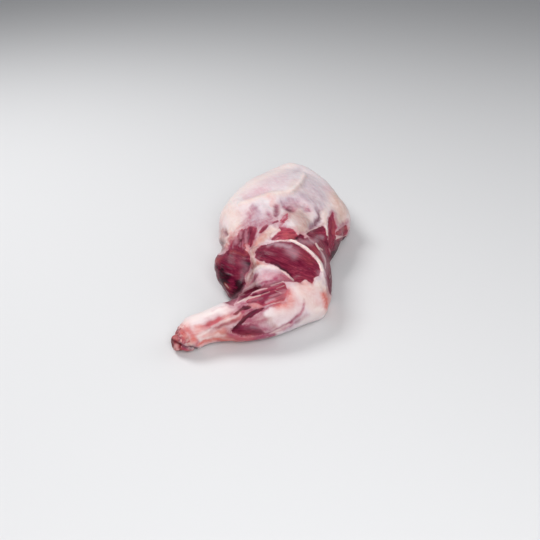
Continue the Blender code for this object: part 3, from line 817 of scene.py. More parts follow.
@dataclass
class TissueMaker:
    """Works out the tissue of every point of the skin."""

    surface: SurfaceMap
    ragged_px: float = 1.1
    sinew_ragged_px: float = 0.35
    sinew_reach_px: float = 6.0
    edge_px: float = 1.0
    stretch: float = 0.9
    reach_px: float = 9.0
    body_hold: float = 0.05
    body_fibres: Vector = field(default_factory=lambda: Vector((0.35, -0.93, -0.1)))
    knuckle: Vector = field(default_factory=lambda: Vector((-0.099, -0.186, 0.013)))
    knuckle_reach_mm: float = 24.0
    lean_height_mm: tuple[float, float] = (6.0, 26.0)
    ankle_fat_mm: tuple[float, float] = (-40.0, -75.0)
    hidden_deep: float = 0.45
    hidden_film: float = 0.35

    def make(self) -> Tissue:
        """Lays the muscles, tints and sinews over the skin.

        Returns:
            The tissue of every point.
        """
        surface = self.surface
        points = surface.points / MM
        warp = np.stack([noise(points, 6.0, 11), noise(points, 6.0, 12)], axis=1)
        warp += 0.5 * np.stack([noise(points, 2.6, 13), noise(points, 2.6, 14)], axis=1)
        warp *= surface.facing[:, None]
        spots = surface.spots + self.ragged_px * warp
        seen = surface.seen
        shank = surface.shank_share()

        bare = np.full(len(points), -self.reach_px)
        deep = np.zeros(len(points))
        film = np.zeros(len(points))
        total = np.zeros(len(points))
        shank_way = (surface.shank_to - surface.shank_from).normalized()
        way = (1.0 - shank[:, None]) * np.array(self.body_fibres) + shank[:, None] * np.array(shank_way)
        way = self.body_hold * way
        for muscle in MUSCLES:
            depth = depth_inside(spots, muscle.outline, self.reach_px) / muscle.edge
            inside = smooth_step(-self.edge_px, self.edge_px, depth)
            direction = surface.along(*muscle.fibres, fallback=self.body_fibres)
            bare = np.maximum(bare, depth)
            deep += inside * muscle.deep
            film += inside * muscle.film
            total += inside
            way = way + inside[:, None] * direction
        deep, film = deep / np.maximum(total, 1.0), film / np.maximum(total, 1.0)

        hidden_bare, hidden_deep, hidden_film = self.hidden(points, shank)
        bare = seen * bare + (1.0 - seen) * hidden_bare
        deep = seen * deep + (1.0 - seen) * hidden_deep
        film = seen * film + (1.0 - seen) * hidden_film

        way = way / np.linalg.norm(way, axis=1)[:, None]
        run = np.einsum("ij,ij->i", points, way)
        grain = points - self.stretch * run[:, None] * way

        tints = stain_fields(surface, spots, STAINS)
        self.hidden_tints(points, tints, seen)

        fine = surface.spots + self.sinew_ragged_px * warp
        sinew = np.full(len(points), -self.sinew_reach_px)
        white = np.zeros(len(points))
        for strand in SINEWS:
            inside = strand.half_width - line_distance(fine, strand.line)
            white = np.where(inside > np.maximum(sinew, -1.0), strand.white, white)
            sinew = np.maximum(sinew, inside)
        sinew = np.where(seen > 0.6, sinew, -self.sinew_reach_px)

        away = np.linalg.norm(points - np.array(self.knuckle) / MM, axis=1)
        away += 3.0 * noise(points, 5.0, 31)
        cut = 1.0 - smooth_step(0.55 * self.knuckle_reach_mm, self.knuckle_reach_mm, away)
        cut *= 1.0 - np.clip(1.5 * tints[Tint.SHADE], 0.0, 1.0)
        return Tissue(bare, deep, film, sinew, white, grain, tints, cut)

    def hidden(self, points: np.ndarray, shank: np.ndarray) -> tuple[np.ndarray, np.ndarray, np.ndarray]:
        """The muscle where the picture doesn't reach.

        Args:
            points: The points, in millimetres.
            shank: How surely each is on the shank.

        Returns:
            How bare the muscle is, how deep its colour and how much silver skin is on it.
        """
        low = 1.0 - smooth_step(*self.lean_height_mm, points[:, 2] + 6.0 * noise(points, 24.0, 21))
        patches = 7.0 * noise(points, 30.0, 22) + 2.0 * noise(points, 9.0, 23)
        body = patches - 4.5 + 8.0 * low
        streaks = 5.0 * noise(points * np.array([0.35, 1.0, 1.0]), 11.0, 24)
        limb = streaks - 1.5 - 5.0 * smooth_step(*self.ankle_fat_mm, points[:, 0])
        bare = np.clip(shank * limb + (1.0 - shank) * body, -6.0, 6.0)
        deep = self.hidden_deep + 0.2 * noise(points, 26.0, 25)
        film = np.clip(self.hidden_film + 0.5 * noise(points, 20.0, 26), 0.0, 1.0)
        return bare, deep, film

    def hidden_tints(self, points: np.ndarray, tints: dict[Tint, np.ndarray], seen: np.ndarray) -> None:
        """Adds the fat's tints where the picture doesn't reach.

        Args:
            points: The points, in millimetres.
            tints: The tints so far, which this adds to.
            seen: How much of what the picture shows counts.
        """
        unseen = 1.0 - seen
        tints[Tint.CREAM] += unseen * np.clip(0.4 + 0.6 * noise(points, 30.0, 41), 0.0, 0.9)
        tints[Tint.LILAC] += unseen * np.clip(0.7 * noise(points, 24.0, 42), 0.0, 0.7)
        tints[Tint.FLESH] += unseen * np.clip(0.2 + 0.6 * noise(points, 34.0, 43), 0.0, 0.7)


# Materials.


# The nodes and settings that the steps below use most. A step has a name, a kind, settings and inputs.
MATH, MIX, NOISE, RISE = "ShaderNodeMath", "ShaderNodeMix", "ShaderNodeTexNoise", "ShaderNodeMapRange"
RAMP, BUMP = "ShaderNodeValToRGB", "ShaderNodeBump"
TIMES = {"operation": "MULTIPLY"}
TIMES_UP_TO_1 = {"operation": "MULTIPLY", "use_clamp": True}
TIMES_PLUS = {"operation": "MULTIPLY_ADD"}
COLOURS = {"data_type": "RGBA"}
SMOOTHLY = {"interpolation_type": "SMOOTHSTEP"}
Step = tuple[str, str, dict[str, object], dict[str | int, object]]


def grade(ramp: bpy.types.ColorRamp, stops: tuple[tuple[float, str], ...]) -> None:
    """Colours a ramp.

    Args:
        ramp: The ramp, as new.
        stops: Each stop's position and colour, from the lowest up.
    """
    ramp.elements[0].position, ramp.elements[1].position = stops[0][0], stops[-1][0]
    ramp.elements[0].color, ramp.elements[1].color = linear(stops[0][1]), linear(stops[-1][1])
    for position, colour in stops[1:-1]:
        ramp.elements.new(position).color = linear(colour)


def add_node(
    tree: bpy.types.NodeTree,
    kind: str,
    settings: dict[str, object] | None = None,
    values: dict[str | int, object] | None = None,
    links: dict[str | int, bpy.types.NodeSocket] | None = None,
) -> bpy.types.Node:
    """Adds a node to a tree.

    Args:
        tree: The shader or geometry tree.
        kind: The node's type.
        settings: Its own properties. A colour ramp's "stops" are its positions and colours.
        values: Fixed values of its inputs, by name or number.
        links: What feeds its inputs, by name or number.

    Returns:
        The node.
    """
    node = tree.nodes.new(kind)
    for name, value in (settings or {}).items():
        if name == "stops":
            grade(node.color_ramp, value)
        else:
            setattr(node, name, value)
    for name, value in (values or {}).items():
        node.inputs[name].default_value = value
    for name, socket in (links or {}).items():
        tree.links.new(socket, node.inputs[name])
    return node


@dataclass
class Recipe:
    """A material under way: its shader, and the result of each step so far, by name."""

    name: str
    uniform: dict[str, object]
    made: dict[str, bpy.types.NodeSocket] = field(default_factory=dict)

    def __post_init__(self) -> None:
        """Starts a Principled material, and sets what is the same all over it."""
        self.material = bpy.data.materials.new(self.name)
        self.material.use_nodes = True
        self.tree = self.material.node_tree
        self.shader = self.tree.nodes["Principled BSDF"]
        for socket, value in self.uniform.items():
            self.shader.inputs[socket].default_value = value
        self.made["place"] = add_node(self.tree, "ShaderNodeTexCoord").outputs["Object"]

    def result(self, name: str) -> bpy.types.NodeSocket:
        """The result of a step, or else the surface's attribute of that name.

        Args:
            name: The step or the attribute.

        Returns:
            What it gives.
        """
        if name not in self.made:
            node = add_node(self.tree, "ShaderNodeAttribute", {"attribute_name": name})
            self.made[name] = node.outputs["Fac"]
        return self.made[name]

    def add(self, *steps: Step) -> None:
        """Adds steps in order.

        Args:
            steps: Each one's name, kind of node, settings and inputs. An input is a value, or the name
                of an earlier step or of an attribute.
        """
        for name, kind, settings, inputs in steps:
            links = {at: self.result(given) for at, given in inputs.items() if isinstance(given, str)}
            values = {at: given for at, given in inputs.items() if not isinstance(given, str)}
            node = add_node(self.tree, kind, settings, values, links)
            self.made[name] = node.outputs[2 if settings is COLOURS else 0]

    def layer(self, base: str, share: str, colour: str) -> None:
        """Lays a hex colour over a step's colour by a share, which is a step or an attribute."""
        self.add((base, MIX, COLOURS, {0: share, 6: base, 7: linear(colour)}))

    def finish(self, feeds: dict[str, str]) -> bpy.types.Material:
        """Feeds the shader.

        Args:
            feeds: The step that feeds each of its sockets.

        Returns:
            The finished material.
        """
        for socket, name in feeds.items():
            self.tree.links.new(self.made[name], self.shader.inputs[socket])
        return self.material


@dataclass(frozen=True)
class RawLamb:
    """Raw lamb, cut and skinned: hard white and cream fat, wet fibrous muscle, and silver skin.

    The fat is dull and waxy, the muscle is wetter and darker, and silver skin shines over it, with a
    painted sheen; some tints are painted shade and highlights.
    """

    fat_white: str = "#EFE6E7"
    pale: str = "#F7EAE4"
    cream: str = "#E6CDBF"
    lilac: str = "#C1B4BF"
    flesh: str = "#D9A3B0"
    tan: str = "#A67468"
    rose: str = "#A24562"
    blush: str = "#DC7466"
    shade: str = "#4A1024"
    red_bright: str = "#B44A5C"
    red_mid: str = "#7E253D"
    red_deep: str = "#5E0428"
    red_black: str = "#2B0011"
    silver_skin_and_sheen: str = "#D8C2CC"
    sinew_white: str = "#F0DDD6"
    marrow: str = "#B4464C"
    fibre_mm: float = 1.1
    bundle_mm: float = 3.52
    mottle_mm: float = 7.0
    grit_mm: float = 1.3
    crumb_mm: float = 3.5
    blotchy: float = 1.1
    stringy: float = 0.9
    ragged_edge: float = 1.5
    edge_width: float = 0.35
    ragged_sinew: float = 0.5
    sinew_edge: float = 0.3
    dryness: float = 0.46
    grit_gloss: float = 0.25

    def make(self) -> bpy.types.Material:
        """Builds the material from the skin's attributes.

        Returns:
            The finished material.
        """
        recipe = Recipe("raw_lamb_fat_and_muscle", {
            "IOR": 1.42, "Specular IOR Level": 0.14, "Subsurface Weight": 0.12, "Subsurface Scale": 0.003,
            "Subsurface Radius": (1.0, 0.35, 0.25), "Coat Weight": 0.04, "Coat Roughness": 0.1,
        })
        grain = add_node(recipe.tree, "ShaderNodeAttribute", {"attribute_name": "grain"})
        recipe.made["grain"] = grain.outputs["Vector"]
        for name, where, size, detail in (
            ("fibres", "grain", self.fibre_mm, 4.0), ("bundles", "grain", self.bundle_mm, 2.0),
            ("mottle", "place", self.mottle_mm * MM, 3.0), ("grit", "place", self.grit_mm * MM, 4.0),
            ("lumps", "place", self.crumb_mm * MM, 3.0),
        ):
            inputs = {"Vector": where, "Scale": 1 / size, "Detail": detail, "Roughness": 0.6}
            recipe.add((name, NOISE, {}, inputs))
        self.add_fat(recipe)
        self.add_muscle(recipe)

        # Where muscle shows, its edge is frayed by grit. Sinews, crumbs and marrow lie over both.
        for name, depth, ragged, width in (
            ("open", "bare", self.ragged_edge, self.edge_width),
            ("strand", "sinew", self.ragged_sinew, self.sinew_edge),
        ):
            limits = {"From Min": ragged / 2 - width, "From Max": ragged / 2 + width}
            recipe.add(
                (name, MATH, TIMES_PLUS, {0: "grit", 1: ragged, 2: depth}),
                (name, RISE, SMOOTHLY, {"Value": name, **limits}),
            )
        limits = {"From Min": 0.45, "From Max": 0.62, "To Max": 0.75}
        recipe.add(
            ("colour", MIX, COLOURS, {0: "open", 6: "fat", 7: "red"}),
            ("strand", MATH, TIMES, {0: "strand", 1: "white"}),
            ("crumbs", RISE, SMOOTHLY, {"Value": "lumps", **limits}),
            ("crumbs", MATH, TIMES, {0: "cut", 1: "crumbs"}),
        )
        recipe.layer("colour", "strand", self.sinew_white)
        recipe.layer("colour", "crumbs", self.marrow)

        # Muscle and silver skin are wetter than fat. Fibres ridge the muscle, and grit pits the fat.
        recipe.add(
            ("wet", MATH, TIMES_PLUS, {0: "open", 1: -0.12, 2: self.dryness - self.grit_gloss / 2}),
            ("wet", MATH, TIMES_PLUS, {0: "skin", 1: -0.12, 2: "wet"}),
            ("rough", MATH, {**TIMES_PLUS, "use_clamp": True}, {0: "grit", 1: self.grit_gloss, 2: "wet"}),
            ("pits", MATH, TIMES, {0: "grit", 1: 0.5}),
            ("relief", MIX, {"data_type": "FLOAT"}, {0: "open", 2: "pits", 3: "fibres"}),
            ("bump", BUMP, {}, {"Strength": 0.55, "Distance": 0.5 * MM, "Height": "relief"}),
        )
        return recipe.finish({"Base Color": "colour", "Roughness": "rough", "Normal": "bump"})

    def add_fat(self, recipe: Recipe) -> None:
        """Adds the fat: white, blotched by its tints, painted shade and highlights among them, and flushed
        beside the muscle.

        Args:
            recipe: The material under way.
        """
        recipe.add(
            ("fat", "ShaderNodeRGB", {}, {}),
            ("uneven", MATH, TIMES, {0: "mottle", 1: self.blotchy}),
            ("uneven", MATH, TIMES_PLUS, {0: "bundles", 1: self.stringy, 2: "uneven"}),
        )
        recipe.made["fat"].default_value = linear(self.fat_white)
        for tint in (Tint.CREAM, Tint.LILAC, Tint.FLESH, Tint.TAN, Tint.ROSE, Tint.BLUSH, Tint.SHADE):
            recipe.add(("share", MATH, TIMES_UP_TO_1, {0: tint.value, 1: "uneven"}))
            recipe.layer("fat", "share", getattr(self, tint.value))
        recipe.layer("fat", Tint.PALE.value, self.pale)
        recipe.add(
            ("flush", RISE, SMOOTHLY, {"Value": "bare", "From Min": -4.5, "From Max": 0.0, "To Max": 0.5}),
            ("flush", MATH, TIMES_UP_TO_1, {0: "flush", 1: "uneven"}),
        )
        recipe.layer("fat", "flush", self.rose)

    def add_muscle(self, recipe: Recipe) -> None:
        """Adds the muscle: four reds along its fibres, its tints, pale veins, and silver skin with painted
        sheen.

        Args:
            recipe: The material under way.
        """
        reds = ((0.05, self.red_bright), (0.42, self.red_mid), (0.78, self.red_deep), (1.0, self.red_black))
        recipe.add(
            ("tone", MATH, TIMES_PLUS, {0: "fibres", 1: self.blotchy, 2: "deep"}),
            ("tone", MATH, TIMES_PLUS, {0: "bundles", 1: self.stringy, 2: "tone"}),
            ("tone", MATH, TIMES_PLUS, {0: "shade", 1: 0.6, 2: "tone"}),
            ("tone", MATH, {"operation": "SUBTRACT"}, {0: "tone", 1: (self.blotchy + self.stringy) / 2}),
            ("red", RAMP, {"stops": reds}, {"Fac": "tone"}),
        )
        for tint, part in ((Tint.BLUSH, 0.4), (Tint.ROSE, 0.4), (Tint.LILAC, 0.3), (Tint.FLESH, 0.6)):
            recipe.add(("share", MATH, TIMES, {0: tint.value, 1: part}))
            recipe.layer("red", "share", getattr(self, tint.value))
        limits = {"From Min": 0.60, "From Max": 0.78, "To Max": 0.11}
        recipe.add(
            ("veins", RISE, SMOOTHLY, {"Value": "bundles", **limits}),
            ("skin", MATH, TIMES_PLUS, {0: "film", 1: 0.85, 2: "painted_sheen"}),
            ("threads", MATH, TIMES_PLUS, {0: "fibres", 1: 0.8, 2: 0.55}),
            ("skin", MATH, TIMES_UP_TO_1, {0: "skin", 1: "threads"}),
        )
        recipe.layer("red", "veins", self.flesh)
        # The silver skin colour lays both the real silver skin and the painted sheen highlights.
        recipe.layer("red", "skin", self.silver_skin_and_sheen)


@dataclass(frozen=True)
class BoneAndCartilage:
    """A fresh bone end: wet pink bone under bluish-white gristle, with blood in its pores, and painted
    shade in its cracks and along its edges.
    """

    cartilage: str = "#D19E98"
    bone: str = "#B97170"
    blood: str = "#8E2530"
    flesh: str = "#DDA0A0"
    rose: str = "#9C2834"
    blush: str = "#C8343C"
    pale: str = "#F2D9CF"
    shade: str = "#5E0618"
    clouds_per_metre: float = 240.0  # About 4 mm each.
    pores_per_metre: float = 700.0  # About 1.4 mm each.

    def make(self) -> bpy.types.Material:
        """Builds the material from the bone's attributes.

        Returns:
            The finished material.
        """
        uniform = {"Roughness": 0.55, "IOR": 1.5, "Specular IOR Level": 0.25}
        recipe = Recipe("fresh_bone_and_cartilage", uniform)
        stops = ((0.36, self.blood), (0.50, self.bone), (0.62, self.cartilage))
        recipe.add(
            ("cloud", NOISE, {}, {"Vector": "place", "Scale": self.clouds_per_metre, "Detail": 4.0}),
            ("pores", NOISE, {}, {"Vector": "place", "Scale": self.pores_per_metre, "Detail": 3.0}),
            ("colour", RAMP, {"stops": stops}, {"Fac": "cloud"}),
            ("bump", BUMP, {}, {"Strength": 0.5, "Distance": 0.6 * MM, "Height": "pores"}),
        )
        for tint in (Tint.FLESH, Tint.ROSE, Tint.BLUSH, Tint.PALE, Tint.SHADE):
            recipe.layer("colour", tint.value, getattr(self, tint.value))
        return recipe.finish({"Base Color": "colour", "Normal": "bump"})


@dataclass(frozen=True)
class WetSinew:
    """Bare tendon: a smooth, wet, bluish-white cord with fine lengthwise threads."""

    white: str = "#EED3D2"
    pink: str = "#CE9CA2"
    clouds_per_metre: float = 260.0  # About 4 mm each.

    def make(self) -> bpy.types.Material:
        """Builds the material.

        Returns:
            The finished material.
        """
        recipe = Recipe("wet_sinew", {
            "Roughness": 0.4, "IOR": 1.4, "Subsurface Weight": 0.15, "Subsurface Radius": (1.0, 0.5, 0.4),
            "Subsurface Scale": 0.002,
        })
        recipe.add(
            ("cloud", NOISE, {}, {"Vector": "place", "Scale": self.clouds_per_metre, "Detail": 3.0}),
            ("colour", RAMP, {"stops": ((0.22, self.pink), (0.50, self.white))}, {"Fac": "cloud"}),
        )
        return recipe.finish({"Base Color": "colour"})


@dataclass(frozen=True)
class CrumbsOfBone:
    """Crumbled bone, marrow and fat: pink, cream and blood-red grains a millimetre or two across."""

    cream: str = "#D39C96"
    pink: str = "#C06A70"
    blood: str = "#942E3E"
    clouds_per_metre: float = 220.0  # About 4.5 mm each, so that a crumb has one or two colours.

    def make(self) -> bpy.types.Material:
        """Builds the material.

        Returns:
            The finished material.
        """
        recipe = Recipe("crumbled_bone", {"Roughness": 0.42, "IOR": 1.45})
        stops = ((0.36, self.blood), (0.48, self.pink), (0.62, self.cream))
        recipe.add(
            ("cloud", NOISE, {}, {"Vector": "place", "Scale": self.clouds_per_metre, "Detail": 2.0}),
            ("colour", RAMP, {"stops": stops}, {"Fac": "cloud"}),
        )
        return recipe.finish({"Base Color": "colour"})


@dataclass(frozen=True)
class PalePaper:
    """A seamless roll of pale matt paper, which gives the meat a soft contact shadow."""

    colour: str = "#DCDCDD"
    tooth_per_metre: float = 900.0  # Drawn about ten times as coarse as real, so that it shows.

    def make(self) -> bpy.types.Material:
        """Builds the material.

        Returns:
            The finished material.
        """
        recipe = Recipe("matt_paper", {"Base Color": linear(self.colour), "Roughness": 0.85})
        recipe.add(
            ("tooth", NOISE, {}, {"Vector": "place", "Scale": self.tooth_per_metre, "Detail": 2.0}),
            ("bump", BUMP, {}, {"Strength": 0.1, "Distance": 0.2 * MM, "Height": "tooth"}),
        )
        return recipe.finish({"Normal": "bump"})


# The pieces.


def add_object(name: str, data: bpy.types.ID) -> bpy.types.Object:
    """Adds an object to the scene.

    Args:
        name: Its name.
        data: Its mesh, light or camera.

    Returns:
        The object.
    """
    made = bpy.data.objects.new(name, data)
    bpy.context.scene.collection.objects.link(made)
    return made


def merged_copy(node: bpy.types.Object, name: str) -> bpy.types.Object:
    """Copies a solid's loose triangles into one closed skin.

    Args:
        node: The solid, which stays as it is.
        name: The copy's name.

    Returns:
        The copy, in the scene.
    """
    net = bmesh.new()
    net.from_mesh(node.data)
    bmesh.ops.remove_doubles(net, verts=net.verts, dist=0.01 * MM)
    mesh = bpy.data.meshes.new(name)
    net.to_mesh(mesh)
    net.free()
    return add_object(name, mesh)


def bake_modifiers(piece: bpy.types.Object) -> None:
    """Replaces a piece's mesh with what its modifiers make of it.

    Args:
        piece: The piece.
    """
    graph = bpy.context.evaluated_depsgraph_get()
    mesh = bpy.data.meshes.new_from_object(piece.evaluated_get(graph))
    piece.modifiers.clear()
    piece.data = mesh


def refine(piece: bpy.types.Object, voxel_mm: float, passes: int) -> None:
    """Gives a piece a fine even net, and smooths the facets out of it.

    Args:
        piece: The piece.
        voxel_mm: The net's spacing.
        passes: How often it is smoothed.
    """
    remesh = piece.modifiers.new("fine_net", "REMESH")
    remesh.mode = "VOXEL"
    remesh.voxel_size = voxel_mm * MM
    smooth = piece.modifiers.new("no_facets", "SMOOTH")
    smooth.factor = 0.5
    smooth.iterations = passes
    bake_modifiers(piece)


def push(piece: bpy.types.Object, surface: SurfaceMap, lift: np.ndarray) -> None:
    """Moves a skin's points straight out or in, but never under the floor.

    Args:
        piece: The piece.
        surface: Its points.
        lift: How far each moves, in millimetres.
    """
    moved = surface.points + surface.normals * (lift * MM)[:, None]
    moved[:, 2] = np.maximum(moved[:, 2], 0.0)
    piece.data.vertices.foreach_set("co", moved.ravel())
    piece.data.update()


def cover(piece: bpy.types.Object, material: bpy.types.Material) -> bpy.types.Object:
    """Shades a piece smooth, and gives it its one material.

    Args:
        piece: The piece.
        material: Its finish.

    Returns:
        The piece.
    """
    piece.data.shade_smooth()
    piece.data.materials.clear()
    piece.data.materials.append(material)
    return piece


def open_tree(
    name: str, inputs: dict[str, str]
) -> tuple[bpy.types.NodeTree, dict[str, str], bpy.types.Node]:
    """Starts a tree of Geometry Nodes.

    Args:
        name: The tree's name.
        inputs: The kind of each named input.

    Returns:
        The tree, its inputs' identifiers by name, and the node that gives them.
    """
    tree = bpy.data.node_groups.new(name, "GeometryNodeTree")
    face = tree.interface
    for side in ("INPUT", "OUTPUT"):
        face.new_socket("Geometry", in_out=side, socket_type="NodeSocketGeometry")
    named = {
        label: face.new_socket(label, in_out="INPUT", socket_type=f"NodeSocket{kind}").identifier
        for label, kind in inputs.items()
    }
    return tree, named, add_node(tree, "NodeGroupInput")


def close_tree(tree: bpy.types.NodeTree, made: bpy.types.NodeSocket, given: bpy.types.Node) -> None:
    """Ends a tree: smooth shading, real geometry in place of instances, and the material.

    Args:
        tree: The tree.
        made: What it has made.
        given: The node that gives its inputs.
    """
    smooth = add_node(tree, "GeometryNodeSetShadeSmooth", links={"Geometry": made})
    real = add_node(tree, "GeometryNodeRealizeInstances", links={"Geometry": smooth.outputs[0]})
    links = {"Geometry": real.outputs[0], "Material": given.outputs["Material"]}
    dressed = add_node(tree, "GeometryNodeSetMaterial", links=links)
    add_node(tree, "NodeGroupOutput", links={"Geometry": dressed.outputs[0]})


def run_tree(
    piece: bpy.types.Object, tree: bpy.types.NodeTree, named: dict[str, str], values: dict[str, object]
) -> bpy.types.Object:
    """Turns a piece's mesh into what a tree makes of it.

    Args:
        piece: The piece.
        tree: The tree.
        named: Its inputs' identifiers by name.
        values: What its inputs are set to.

    Returns:
        The piece.
    """
    maker = piece.modifiers.new(tree.name, "NODES")
    maker.node_group = tree
    for label, value in values.items():
        maker[named[label]] = value
    bake_modifiers(piece)
    return piece


@dataclass
class ShoulderMeat:
    """The meat: muscles, fat and silver skin in one sculpted skin."""

    viewpoint: Viewpoint
    voxel_mm: float = 1.2
    passes: int = 11
    most_triangles: int = 186000
    turned_away: float = -0.1
    fat_step_mm: float = 1.0
    bundle_mm: float = 0.32
    lump_mm: float = 0.45
    sinew_mm: float = 0.7

    def build(self, node: bpy.types.Object) -> bpy.types.Object:
        """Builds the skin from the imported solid.

        Args:
            node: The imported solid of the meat.

        Returns:
            The dressed piece.
        """
        piece = merged_copy(node, "dressed_meat")
        refine(piece, self.voxel_mm, self.passes)
        self.thin_far_side(piece)
        surface = SurfaceMap(piece.data, self.viewpoint)
        tissue = TissueMaker(surface).make()
        self.sculpt(piece, surface, tissue)
        self.store(piece.data, tissue)
        return cover(piece, RawLamb().make())

    def thin_far_side(self, piece: bpy.types.Object) -> None:
        """Coarsens the net where it faces away from the picture.

        Args:
            piece: The skin.
        """
        eye = Vector(self.viewpoint.place)
        away = [
            point.index for point in piece.data.vertices
            if point.normal.dot((eye - point.co).normalized()) < self.turned_away
        ]
        far_side = piece.vertex_groups.new(name="far_side")
        far_side.add(away, 1.0, "REPLACE")
        piece.data.calc_loop_triangles()
        thin = piece.modifiers.new("coarser_far_side", "DECIMATE")
        thin.ratio = min(1.0, self.most_triangles / len(piece.data.loop_triangles))
        thin.vertex_group = far_side.name
        thin.vertex_group_factor = 100.0
        bake_modifiers(piece)
        piece.vertex_groups.clear()

    def sculpt(self, piece: bpy.types.Object, surface: SurfaceMap, tissue: Tissue) -> None:
        """Presses in the muscles and creases, and raises fat, fibres and sinews.

        Args:
            piece: The skin.
            surface: Its points.
            tissue: What they are made of.
        """
        points = surface.points / MM
        muscle = smooth_step(-1.0, 1.2, tissue.bare)
        lift = self.fat_step_mm * (0.5 - muscle)
        lift += self.bundle_mm * muscle * noise(tissue.grain, 2.4, 51) * (1.0 - 0.5 * tissue.film)
        lift += 0.5 * self.bundle_mm * muscle * noise(tissue.grain, 1.2, 52)
        lift += self.lump_mm * (1.0 - muscle) * noise(points, 13.0, 53)
        lift += 0.4 * self.lump_mm * (1.0 - muscle) * noise(points, 4.5, 54)
        lift += self.sinew_mm * (0.4 + 0.6 * tissue.white) * smooth_step(-0.8, 0.6, tissue.sinew)
        lift += tissue.cut * (1.1 * noise(points, 4.2, 55) + 0.6 * noise(points, 2.2, 56))
        for fold in FOLDS:
            away = line_distance(surface.spots, fold.line)
            lift += fold.height * np.exp(-((away / fold.reach) ** 2)) * surface.seen
        push(piece, surface, lift * smooth_step(0.2, 3.0, points[:, 2]))

    def store(self, mesh: bpy.types.Mesh, tissue: Tissue) -> None:
        """Writes the tissue on to the skin as attributes.

        Args:
            mesh: The skin.
            tissue: What its points are made of.
        """
        fields = {
            "bare": tissue.bare, "deep": tissue.deep, "film": tissue.film, "sinew": tissue.sinew,
            "white": tissue.white, "cut": tissue.cut,
            **{tint.value: amount for tint, amount in tissue.tints.items()},
        }
        store_fields(mesh, fields)
        vectors = mesh.attributes.new("grain", "FLOAT_VECTOR", "POINT")
        vectors.data.foreach_set("vector", tissue.grain.astype(np.float32).ravel())


@dataclass
class SinewCords:
    """The thick sinews: tapered cords that lie half sunk in the meat, made by Geometry Nodes."""

    viewpoint: Viewpoint
    least_white: float = 0.7
    step_px: float = 0.8
    taper_px: float = 14.0
    sunk: float = 0.4
    sides: int = 12

    def build(self, skin: bpy.types.Object) -> bpy.types.Object:
        """Lays the cords on the finished skin.

        Args:
            skin: The dressed meat.

        Returns:
            The dressed piece.
        """
        tree = SurfaceMap.tree_of(skin.data)
        spots: list[Vector] = []
        widths: list[float] = []
        edges: list[tuple[int, int]] = []
        for strand in SINEWS:
            if strand.white >= self.least_white:
                first = len(spots)
                for point, width in self.course(tree, strand):
                    spots.append(point)
                    widths.append(width)
                edges += [(at, at + 1) for at in range(first, len(spots) - 1)]
        mesh = bpy.data.meshes.new("sinew_courses")
        mesh.from_pydata(spots, edges, [])
        store_fields(mesh, {"half_width": np.array(widths)})
        values = {"Sides": self.sides, "Material": WetSinew().make()}
        return run_tree(add_object("sinew_cords", mesh), *self.cord_tree(), values)

    def course(self, tree: BVHTree, strand: Sinew) -> list[tuple[Vector, float]]:
        """Follows a sinew over the skin.

        Args:
            tree: The skin.
            strand: The sinew.

        Returns:
            Points just under the skin, each with the cord's half width in metres.
        """
        corners = [np.array(corner) for corner in strand.line]
        for _ in range(2):
            cut = [corners[0]]
            for start, end in zip(corners[:-1], corners[1:]):
                cut += [0.75 * start + 0.25 * end, 0.25 * start + 0.75 * end]
            corners = [*cut, corners[-1]]
        steps = [float(np.linalg.norm(end - start)) for start, end in zip(corners[:-1], corners[1:])]
        lengths = np.cumsum([0.0, *steps])
        found = []
        for run in np.arange(0.0, lengths[-1], self.step_px):
            spot = tuple(np.interp(run, lengths, [corner[axis] for corner in corners]) for axis in range(2))
            landed = self.viewpoint.landing(tree, spot)
            if landed is None:
                continue
            point, normal = landed
            pixel = (point - Vector(self.viewpoint.place)).length / self.viewpoint.focal
            ends = min(run, lengths[-1] - run) / min(self.taper_px, lengths[-1] / 2)
            width = strand.half_width * pixel * (0.2 + 0.8 * min(1.0, ends))
            found.append((point - normal * width * self.sunk, width))
        return found

    def cord_tree(self) -> tuple[bpy.types.NodeTree, dict[str, str]]:
        """Makes the tree that turns courses into cords.

        Returns:
            The tree, and its inputs' identifiers by name.
        """
        tree, named, given = open_tree("cords_along_courses", {"Sides": "Int", "Material": "Material"})
        course = add_node(tree, "GeometryNodeMeshToCurve", links={"Mesh": given.outputs["Geometry"]})
        reads = {"data_type": "FLOAT"}
        width = add_node(tree, "GeometryNodeInputNamedAttribute", reads, {"Name": "half_width"})
        links = {"Resolution": given.outputs["Sides"]}
        ring = add_node(tree, "GeometryNodeCurvePrimitiveCircle", {}, {"Radius": 1.0}, links)
        links = {"Curve": course.outputs[0], "Profile Curve": ring.outputs[0], "Scale": width.outputs[0]}
        cord = add_node(tree, "GeometryNodeCurveToMesh", {}, {"Fill Caps": True}, links)
        close_tree(tree, cord.outputs[0], given)
        return tree, named


